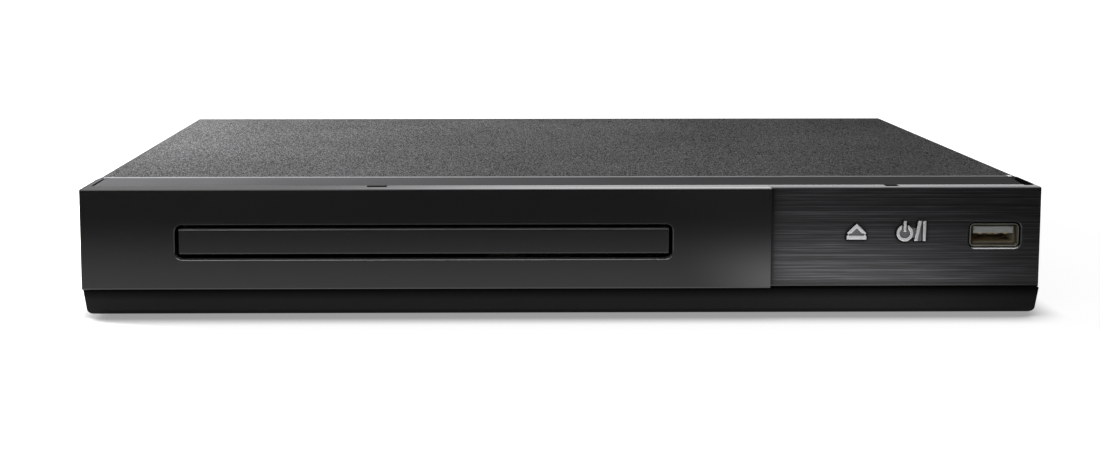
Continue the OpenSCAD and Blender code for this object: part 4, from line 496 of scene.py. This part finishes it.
FINISHES = {
    "cover_steel": cover_paint(),
    "gloss_black": gloss_black(),
    "brushed_black": brushed_black(),
    "front_plastic": strip_plastic(),
    "case_plastic": case_plastic(),
    "door_plastic": gloss_door(),
    "key_silver": satin_nickel(),
    "socket_shell": socket_steel(),
    # grey liquid-crystal polymer: even and chalky beside the metal round it
    "tongue_plastic": moulded("grey_lcp", "#b0b4b1", "#c6cac7", 0.45, rounding=0.15),
    # rubber: matt, grainy and near black, it hardly shines at all
    "foot_rubber": moulded("moulded_rubber", "#161616", "#222222", 0.8, grain=0.6, depth=0.04, ior=1.52),
    "bush_rubber": moulded("butyl_rubber", "#26282a", "#313336", 0.75, grain=0.7, depth=0.02),
    "belt_rubber": moulded("belt_rubber", "#101010", "#191919", 0.7, grain=0.3, depth=0.01, rounding=0.1),
    # steel dipped black: a flat, slightly pebbled coat
    "rear_steel": moulded("black_electrocoat_steel", "#18191a", "#222325", 0.42, grain=0.7, depth=0.02),
    # moulded ABS inside the player: dull mid-black with edges a little paler
    "loader_plastic": moulded("loader_abs", "#26272a", "#303134", 0.45, grain=0.5, depth=0.015),
    "tray_plastic": moulded("tray_abs", "#1b1c1e", "#232427", 0.4, grain=0.5, rounding=0.3),
    "key_black": moulded("key_lever_abs", "#1a1a1b", "#232324", 0.45),
    # acetal of gears, clamper and holders: smooth and waxy
    "white_acetal": moulded("white_acetal", "#dcdcd6", "#ededea", 0.38, grain=0.6, depth=0.005,
                            edge="#ffffff", ior=1.48),
    "holder_plastic": moulded("black_acetal", "#1c1c1d", "#262627", 0.4),
    # glass-filled plastics of small precise parts: sharp edges, almost no sheen
    "table_black": moulded("turntable_pps", "#19191a", "#242425", 0.42, rounding=0.2),
    "lens_holder_black": moulded("lens_holder_lcp", "#151516", "#1f1f20", 0.5, rounding=0.15),
    "switch_body": moulded("switch_body_nylon", "#2c2c2e", "#39393b", 0.5, rounding=0.1),
    "chip_black": moulded("epoxy_package", "#161617", "#202022", 0.55, grain=0.25, depth=0.02, rounding=0.1),
    # deep red-black polycarbonate that only infrared passes: smooth and glossy
    "ir_plastic": moulded("infrared_window_pc", "#150f10", "#1d1416", 0.15, grain=1.5, depth=0.002,
                          ior=1.58),
    # jacks: black polyester housing, yellow inserts of polypropylene
    "jack_housing": moulded("jack_housing_pbt", "#1a1a1b", "#242425", 0.5),
    "jack_yellow": moulded("jack_insert_pp", "#c9a51c", "#e4c238", 0.42),
    # shrunk vinyl sleeve: dark blue and shiny, pulled smooth over its can
    "cap_sleeve": moulded("capacitor_sleeve", "#1d2b45", "#2a3b5c", 0.3, grain=1.0, depth=0.003,
                          rounding=0.3),
    # plated and bare metals: bright where polished or plated, greyer where cast
    "screw_steel": sheet_metal("black_zinc_screw", "#3c3d40", "#5e6064", 0.4, length=0.6, width=0.2),
    "contact_gold": sheet_metal("gold_plate", "#c08f3a", "#efc46a", 0.22, length=4, width=0.15, axis=1),
    "bridge_steel": sheet_metal("zinc_plated_steel", "#8d9194", "#b6babd", 0.34, length=20, width=0.3),
    "magnet_grey": sheet_metal("nickel_plated_magnet", "#85888b", "#a4a7aa", 0.3, length=2, width=0.3),
    "motor_can": sheet_metal("drawn_motor_can", "#9a9da0", "#c5c8cb", 0.26, length=8, width=0.2, axis=2),
    "rod_steel": sheet_metal("ground_rod_steel", "#b4b7ba", "#dddfe1", 0.14, length=1, width=0.15),
    "pickup_cast": sheet_metal("zinc_casting", "#7f8285", "#9c9fa2", 0.5, length=0.6, width=0.5,
                               depth=0.02),
    "sink_aluminium": sheet_metal("extruded_aluminium", "#a9acae", "#cfd2d4", 0.3, length=25, width=0.25,
                                  axis=2),
    # tinted and clear parts that light passes through
    "led_red": clear("red_led_epoxy", "#8c1512", 0.12, 1.5, 0.6),
    "lens_glass": clear("coated_lens_glass", "#a9bfe0", 0.03, 1.52, 0.9),
    "fuse_glass": clear("fuse_glass", "#dfe6e4", 0.05, 1.52, 0.7),
    "board_green": solder_masked("green_board", "#0f3d22", "#1d6238"),
    "board_tan": solder_masked("tan_board", "#8a6a3c", "#a98654", "#3a2a16"),
    "ribbon_white": flat_cable(),
    "winding_yellow": winding_tape(),
}

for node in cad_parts.values():
    for index, material in enumerate(node.data.materials):
        node.data.materials[index] = FINISHES[material.name.split(".")[0]]


# ---- fitted pieces ----

def shell_through(name, rings):
    """A closed shell through rings of points, with its normals outwards."""
    count = len(rings[0])
    last = (len(rings) - 1) * count
    faces = [[start + i, start + (i + 1) % count, start + count + (i + 1) % count, start + count + i]
             for start in range(0, last, count) for i in range(count)]
    faces += [list(reversed(range(count))), list(range(last, last + count))]
    mesh = bpy.data.meshes.new(name)
    mesh.from_pydata([point for ring in rings for point in ring], [], faces)
    shape = bmesh.new()
    shape.from_mesh(mesh)
    bmesh.ops.recalc_face_normals(shape, faces=shape.faces)
    shape.to_mesh(mesh)
    shape.free()
    return mesh


def block_rings(stations, half_width):
    """Rectangles across X: each station is (x, how much narrower, height), standing on z = 0."""
    return [[(x, -half_width + less, 0), (x, half_width - less, 0), (x, half_width - less, height),
             (x, -half_width + less, height)] for x, less, height in stations]


def chip_body():
    """A chip part's ceramic body, 1.5 mm between its end caps."""
    half, inset, height = 0.75 * MM, 0.05 * MM, 0.45 * MM
    stations = [(-half, inset, height), (half, inset, height)]
    return shell_through("chip_body", block_rings(stations, 0.62 * MM))


def chip_caps():
    """The two tinned end caps of a chip part, each a hair proud of the body, with a foot of solder."""
    profile = [(0.7, 0, 0.5), (1.0, 0, 0.5), (1.08, 0.06, 0.42), (1.3, 0.1, 0.04)]
    ends = bmesh.new()
    for sign in (-1, 1):
        stations = [(sign * x * MM, less * MM, height * MM) for x, less, height in profile]
        ends.from_mesh(shell_through("chip_cap", block_rings(stations, 0.64 * MM)))
    mesh = bpy.data.meshes.new("chip_caps")
    ends.to_mesh(mesh)
    ends.free()
    return mesh


def angles(count):
    """This many angles, evenly round a circle."""
    return [math.tau * i / count for i in range(count)]


def solder_dome():
    """A soldered pin under a board: a cone of solder with the clipped lead standing out of it."""
    profile = [(0.95, 0.0), (0.7, -0.18), (0.42, -0.5), (0.32, -0.75), (0.3, -1.1)]
    rings = [[(r * MM * math.cos(a), r * MM * math.sin(a), z * MM) for a in angles(10)] for r, z in profile]
    return shell_through("solder_dome", rings)


def lead_arc(reach, rise):
    """One insulated lead, 1.3 mm thick, that bows over from one board to the next along X."""
    steps, radius = 16, 0.65 * MM
    side = Vector((0, 1, 0))
    rings = []
    for step in range(steps + 1):
        turn = math.pi * step / steps
        centre = Vector((-reach / 2 * math.cos(turn), 0, rise * math.sin(turn)))
        along = Vector((reach / 2 * math.sin(turn), 0, rise * math.cos(turn))).normalized()
        over = along.cross(side)
        rings.append([centre + radius * (side * math.cos(a) + over * math.sin(a)) for a in angles(8)])
    return shell_through("lead_arc", rings)


def header_block(length):
    """A nylon plug housing along Y: a block with a chamfered top and a latching rib on its inner side."""
    outline = [(-2.2, 0), (2.2, 0), (2.2, 5.0), (1.6, 5.6), (-1.6, 5.6), (-2.2, 5.0),
               (-2.2, 3.2), (-2.6, 2.9), (-2.6, 2.1), (-2.2, 1.8)]
    ends = [[(x * MM, y, z * MM) for x, z in outline] for y in (-length / 2, length / 2)]
    return shell_through("header_block", ends)


def repeated(name, mesh, material, body, corner, size, counts, share=1.0, turn=False, seed=1):
    """Copies of a mesh on a grid of points from a corner, as one plain mesh that rides on a body. A share
    under 1 leaves some out, and turn sets some a quarter round, both by the seed."""
    template = bpy.data.objects.new(name + "_one", mesh)
    tree = bpy.data.node_groups.new(name, "GeometryNodeTree")
    inputs = {"Length": size[0], "Width": size[1], "Columns": counts[0], "Rows": counts[1], "Share": share,
              "Seed": seed, "Quarter Turn": math.pi / 2 if turn else 0.0}
    sockets = {}
    for label, value in inputs.items():
        kind = "NodeSocketInt" if isinstance(value, int) else "NodeSocketFloat"
        sockets[label] = tree.interface.new_socket(name=label, in_out="INPUT", socket_type=kind).identifier
    tree.interface.new_socket(name="Geometry", in_out="OUTPUT", socket_type="NodeSocketGeometry")

    given = add(tree, "NodeGroupInput").node.outputs
    grid = add(tree, "GeometryNodeMeshGrid", None, "Mesh", Size_X=given["Length"], Size_Y=given["Width"],
               Vertices_X=given["Columns"], Vertices_Y=given["Rows"])
    centre = [corner[0] + size[0] / 2, corner[1] + size[1] / 2, corner[2]]
    points = add(tree, "GeometryNodeTransform", {"Translation": centre}, Geometry=grid)
    kept = add(tree, "FunctionNodeRandomValue", {"data_type": "BOOLEAN"}, 3, Probability=given["Share"],
               Seed=given["Seed"])
    quarter = add(tree, "FunctionNodeRandomValue", {"data_type": "INT", 4: 0, 5: 1}, 2, Seed=given["Seed"])
    angle = add(tree, "Math", {"operation": "MULTIPLY"}, i0=quarter, i1=given["Quarter Turn"])
    rotation = add(tree, "FunctionNodeEulerToRotation", Euler=add(tree, "CombineXYZ", Z=angle))
    shape = add(tree, "GeometryNodeObjectInfo", {"Object": template}, "Geometry")
    copies = add(tree, "GeometryNodeInstanceOnPoints", Points=points, Selection=kept, Instance=shape,
                 Rotation=rotation)
    real = add(tree, "GeometryNodeRealizeInstances", Geometry=copies)
    painted = add(tree, "GeometryNodeSetMaterial", {"Material": material}, Geometry=real)
    add(tree, "NodeGroupOutput", Geometry=painted)

    piece = bpy.data.objects.new(name, bpy.data.meshes.new(name))
    bpy.context.scene.collection.objects.link(piece)
    modifier = piece.modifiers.new(name, "NODES")
    modifier.node_group = tree
    for label, value in inputs.items():
        modifier[sockets[label]] = value
    evaluated = piece.evaluated_get(bpy.context.evaluated_depsgraph_get())
    final = bpy.data.meshes.new_from_object(evaluated)
    piece.modifiers.remove(modifier)
    piece.data = final
    bpy.data.objects.remove(template)
    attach(piece, body)


def lead_insulation():
    """PVC-covered leads: soft sheen, one colour for each supply."""
    colours = [(0.0, "#1a1a1b"), (0.2, "#a02018"), (0.4, "#c9a024"), (0.6, "#1a1a1b"), (0.8, "#d8d8d4")]

    def build(tree):
        grime = pattern(tree, 4, 3)
        row = placed(tree, "Y", lead_y - 1.5 * MM, lead_y + 11 * MM)
        lead = add(tree, "ValToRGB", {"stops": colours}, Fac=row)
        lead.node.color_ramp.interpolation = "CONSTANT"
        return {
            "Base Color": lead,
            "Roughness": add(tree, "MapRange", {"To Min": 0.35, "To Max": 0.5}, Value=grime),
            "Normal": add(tree, "Bump", {"Strength": 0.5, "Distance": 0.02 * MM}, Height=grime),
        }
    return finish("pvc_insulation", build, IOR=1.53)


# the ceramic is brown-black and dull, the solder pale and a little wavy, the nylon milky with soft edges
CHIP_CERAMIC = moulded("chip_ceramic", "#191816", "#3a2c20", 0.45, grain=0.3, depth=0.004, rounding=0.05)
TIN = sheet_metal("tinned_solder", "#9fa1a3", "#c9cbcd", 0.3, length=0.8, width=0.3, depth=0.01)
NYLON = moulded("natural_nylon", "#d6d2c6", "#e6e3da", 0.45, grain=0.5, depth=0.01, edge="#f2f0ea")

# chip parts in two free fields of the main board, the same grid and seed for bodies and caps:
# x, y, length and width of each field in millimetres, and its columns and rows
CHIP_FIELDS = [(6, 59, 24, 7, 7, 4), (19, 66, 8, 5, 3, 3)]
for number, (x, y, length, width, columns, rows) in enumerate(CHIP_FIELDS):
    corner = (main_low.x + x * MM, main_low.y + y * MM, main_high.z)
    for kind, mesh, material in (("bodies", chip_body(), CHIP_CERAMIC), ("caps", chip_caps(), TIN)):
        repeated(f"chip_{kind}_{number + 1}", mesh, material, "player", corner, (length * MM, width * MM),
                 (columns, rows), share=0.7, turn=True, seed=7 + number)

# soldered pins under both boards, about 4 mm apart, clear of the boards' edges
PIN_MARGIN, PIN_PITCH, PIN_ROWS = 7 * MM, 4 * MM, 22
for name, low, high in (("main", main_low, main_high), ("power", power_low, power_high)):
    across = high.x - low.x - 2 * PIN_MARGIN
    corner = (low.x + PIN_MARGIN, low.y + 16 * MM, low.z)
    repeated(f"{name}_board_solder", solder_dome(), TIN, "player", corner,
             (across, PIN_ROWS * PIN_PITCH), (round(across / PIN_PITCH), PIN_ROWS), share=0.35, seed=3)

# five leads in plug housings bring the supplies from the power board to the main board
gap_x = (main_high.x + power_low.x) / 2
repeated("supply_leads", lead_arc(10 * MM, 6 * MM), lead_insulation(), "player",
         (gap_x, lead_y, main_high.z + 5.2 * MM), (0.0, 10 * MM), (1, 5))
repeated("lead_housings", header_block(13 * MM), NYLON, "player",
         (gap_x - 5 * MM, lead_y + 5 * MM, main_high.z), (10 * MM, 0.0), (2, 1))


# ---- studio ----

def sheet(name, corners, material):
    """A flat four-cornered stage piece with an empty material: the piece, and the material's node tree."""
    mesh = bpy.data.meshes.new(name)
    mesh.from_pydata(corners, [], [(0, 1, 2, 3)])
    mesh.materials.append(blank(material))
    piece = bpy.data.objects.new(name, mesh)
    bpy.context.scene.collection.objects.link(piece)
    return piece, mesh.materials[0].node_tree


def level(half_width, near, far, z):
    """The corners of a level rectangle that faces up."""
    return [(-half_width, near, z), (half_width, near, z), (half_width, far, z), (-half_width, far, z)]


def upright(half_width, y, height):
    """The corners of an upright rectangle that stands on the floor."""
    return [(-half_width, y, 0.0), (half_width, y, 0.0), (half_width, y, height), (-half_width, y, height)]


def seen_straight(tree):
    """1 for rays from the eye and for those a gloss or a glass sends on."""
    path = add(tree, "LightPath").node.outputs
    either = add(tree, "Math", {"operation": "MAXIMUM"}, i0=path["Is Camera Ray"], i1=path["Is Glossy Ray"])
    return add(tree, "Math", {"operation": "MAXIMUM"}, i0=either, i1=path["Is Transmission Ray"])


def studio_floor():
    """White paper: it keeps the player's shadow near by, with a painted contact shadow, and is plain white
    further out.
    """
    tree = sheet("studio_floor", level(6, -6, 6, 0), "white_paper")[1]
    # an oval round the player, wider than it is deep, past which the paper is fully white
    oval = add(tree, "Mapping", {"Scale": (1.0, 1.25, 1.0)}, Vector=add(tree, "TexCoord", out="Object"))
    reach = add(tree, "VectorMath", {"operation": "LENGTH"}, "Value", i0=oval)
    glow = add(tree, "MapRange", {"From Min": 0.2, "From Max": 0.34, "To Min": 0.9, "To Max": 1.0,
                                  "interpolation_type": SOFT}, Value=reach)
    # painted contact shadow: ambient occlusion darkens the paper's colour and glow where the case almost meets
    # the paper
    open_sky = add(tree, "AmbientOcclusion", {"samples": 16, "Distance": 10.5 * MM}, "AO")
    contact = add(tree, "MapRange", {"From Min": 0.46, "From Max": 0.98, "To Min": 0.36}, Value=open_sky)
    colour = add(tree, "ValToRGB", {"stops": [(0.3, "#4a4a4a"), (1.0, "#b4b4b3")]}, Fac=contact)
    paper = add(tree, "BsdfDiffuse", Color=colour)
    strength = product(tree, glow, contact, seen_straight(tree))
    light = add(tree, "Emission", {"Color": WHITE}, Strength=strength)
    add(tree, "OutputMaterial", Surface=add(tree, "AddShader", i0=paper, i1=light))


def studio_world():
    """An even grey dome for light, and plain white where it is seen."""
    world = bpy.data.worlds.new("studio")
    world.use_nodes = True
    tree = world.node_tree
    tree.nodes.clear()
    seen = add(tree, "Background", {"Color": WHITE, "Strength": 1.0})
    dome = add(tree, "Background", {"Color": WHITE, "Strength": 0.085})
    add(tree, "OutputWorld", Surface=add(tree, "MixShader", i0=seen_straight(tree), i1=dome, i2=seen))
    bpy.context.scene.world = world


def softbox(name, place, aim, width, height, power, gloss=True):
    """A rectangular area lamp turned towards a point; without gloss no reflection shows it."""
    lamp = bpy.data.lights.new(name, "AREA")
    lamp.shape = "RECTANGLE"
    lamp.size, lamp.size_y, lamp.energy = width, height, power
    rig = bpy.data.objects.new(name, lamp)
    rig.location = place
    rig.rotation_euler = (Vector(aim) - Vector(place)).to_track_quat("-Z", "Y").to_euler()
    rig.visible_camera = False
    rig.visible_glossy = gloss
    bpy.context.scene.collection.objects.link(rig)


def card(name, corners, brightness):
    """A flat light card with four corners, seen only by reflections; brightness builds its strength."""
    piece, tree = sheet(name, corners, name)
    light = add(tree, "Emission", {"Color": WHITE}, Strength=brightness(tree))
    add(tree, "OutputMaterial", Surface=light)
    for kind in ("camera", "diffuse", "transmission", "volume_scatter", "shadow"):
        setattr(piece, "visible_" + kind, False)


def front_light(tree):
    """Pale beside the player and black further out, brightest before the seam of the two fascias. Its reach is
    in metres before the left fascia and along X."""
    depth = placed(tree, "Y", front_y - 0.18, front_y - 0.02, 0.18, 1.05, SOFT)
    near = placed(tree, "Y", front_y - 0.035, front_y - 0.012, 1.0, 1.8, SOFT)
    patch = product(tree, placed(tree, "X", 0.04, 0.085, 0.0, 2.5, SOFT),
                    placed(tree, "Y", front_y - 0.15, front_y - 0.04, 0.15, 1.0, SOFT),
                    placed(tree, "Y", front_y - 0.044, front_y - 0.03, 1.0, 0.1, SOFT))
    seam = add(tree, "Math", {"operation": "ADD", 1: 1.0}, i0=patch)
    return product(tree, depth, near, seam, placed(tree, "X", 0.082, 0.165, 1.0, 0.08, SOFT))


def dark_room(tree):
    """The unlit room before the player, hardly paler towards the ceiling."""
    return placed(tree, "Z", 0.0, 1.5, 0.02, 0.08, SOFT)


def rear_light(tree):
    """The wall that the top and its silver edge show: dim on the left, a bright window from the middle on."""
    return product(tree, placed(tree, "Z", 0.3, 0.36, 0.25, 1.0, SOFT),
                   placed(tree, "X", -0.4, 0.15, 0.36, 0.9, SOFT))


def overhead(tree):
    """A softbox above the front, which draws a bright line on every edge that is rounded upwards."""
    return placed(tree, "Y", -0.75, -0.4, 0.05, 4.0, SOFT)


studio_floor()
studio_world()
card("floor_card", level(0.9, -1.2, front_y - 2 * MM, 0.4 * MM), front_light)
card("front_flag", upright(2, -1.3, 1.6), dark_room)
card("rear_card", upright(2.5, 2.5, 1.6), rear_light)
card("overhead_card", level(0.6, -0.8, 0.1, 0.75), overhead)
softbox("key", (-0.36, 0.08, 0.19), aim=(-0.04, 0.0, 0.03), width=0.22, height=0.22, power=5.5, gloss=False)
softbox("fill", (0.5, -0.7, 0.6), aim=(0, 0, 0.02), width=0.5, height=0.5, power=0.25)
softbox("front", (-0.35, -0.75, 0.55), aim=(0, 0, 0.02), width=0.5, height=0.5, power=1.1)
# low lamps for the rear and the right side, which hardly reach the top
softbox("rear", (0.1, 0.95, 0.1), aim=(0, 0.1, 0.02), width=0.6, height=0.12, power=2, gloss=False)
softbox("right", (0.95, 0.1, 0.1), aim=(0.13, 0, 0.02), width=0.6, height=0.12, power=2, gloss=False)


# ---- camera ----

# the eye is 0.46 m before the left fascia and a little left of the middle, and looks down by 6.5 degrees; a
# small shift does the rest, so that the uprights stay nearly parallel
camera = bpy.data.cameras.new("camera")
camera.sensor_width = 36
camera.lens = 54.537
camera.shift_x = 0.0436
camera.shift_y = -0.077
camera.clip_start = 0.01
viewer = bpy.data.objects.new("camera", camera)
viewer.location = (-21.99 * MM, front_y - 461.2 * MM, 103.28 * MM)
viewer.rotation_euler = (math.radians(83.5), math.radians(0.017), math.radians(-0.62))
bpy.context.scene.collection.objects.link(viewer)
bpy.context.scene.camera = viewer
bpy.context.scene.view_settings.view_transform = "Standard"
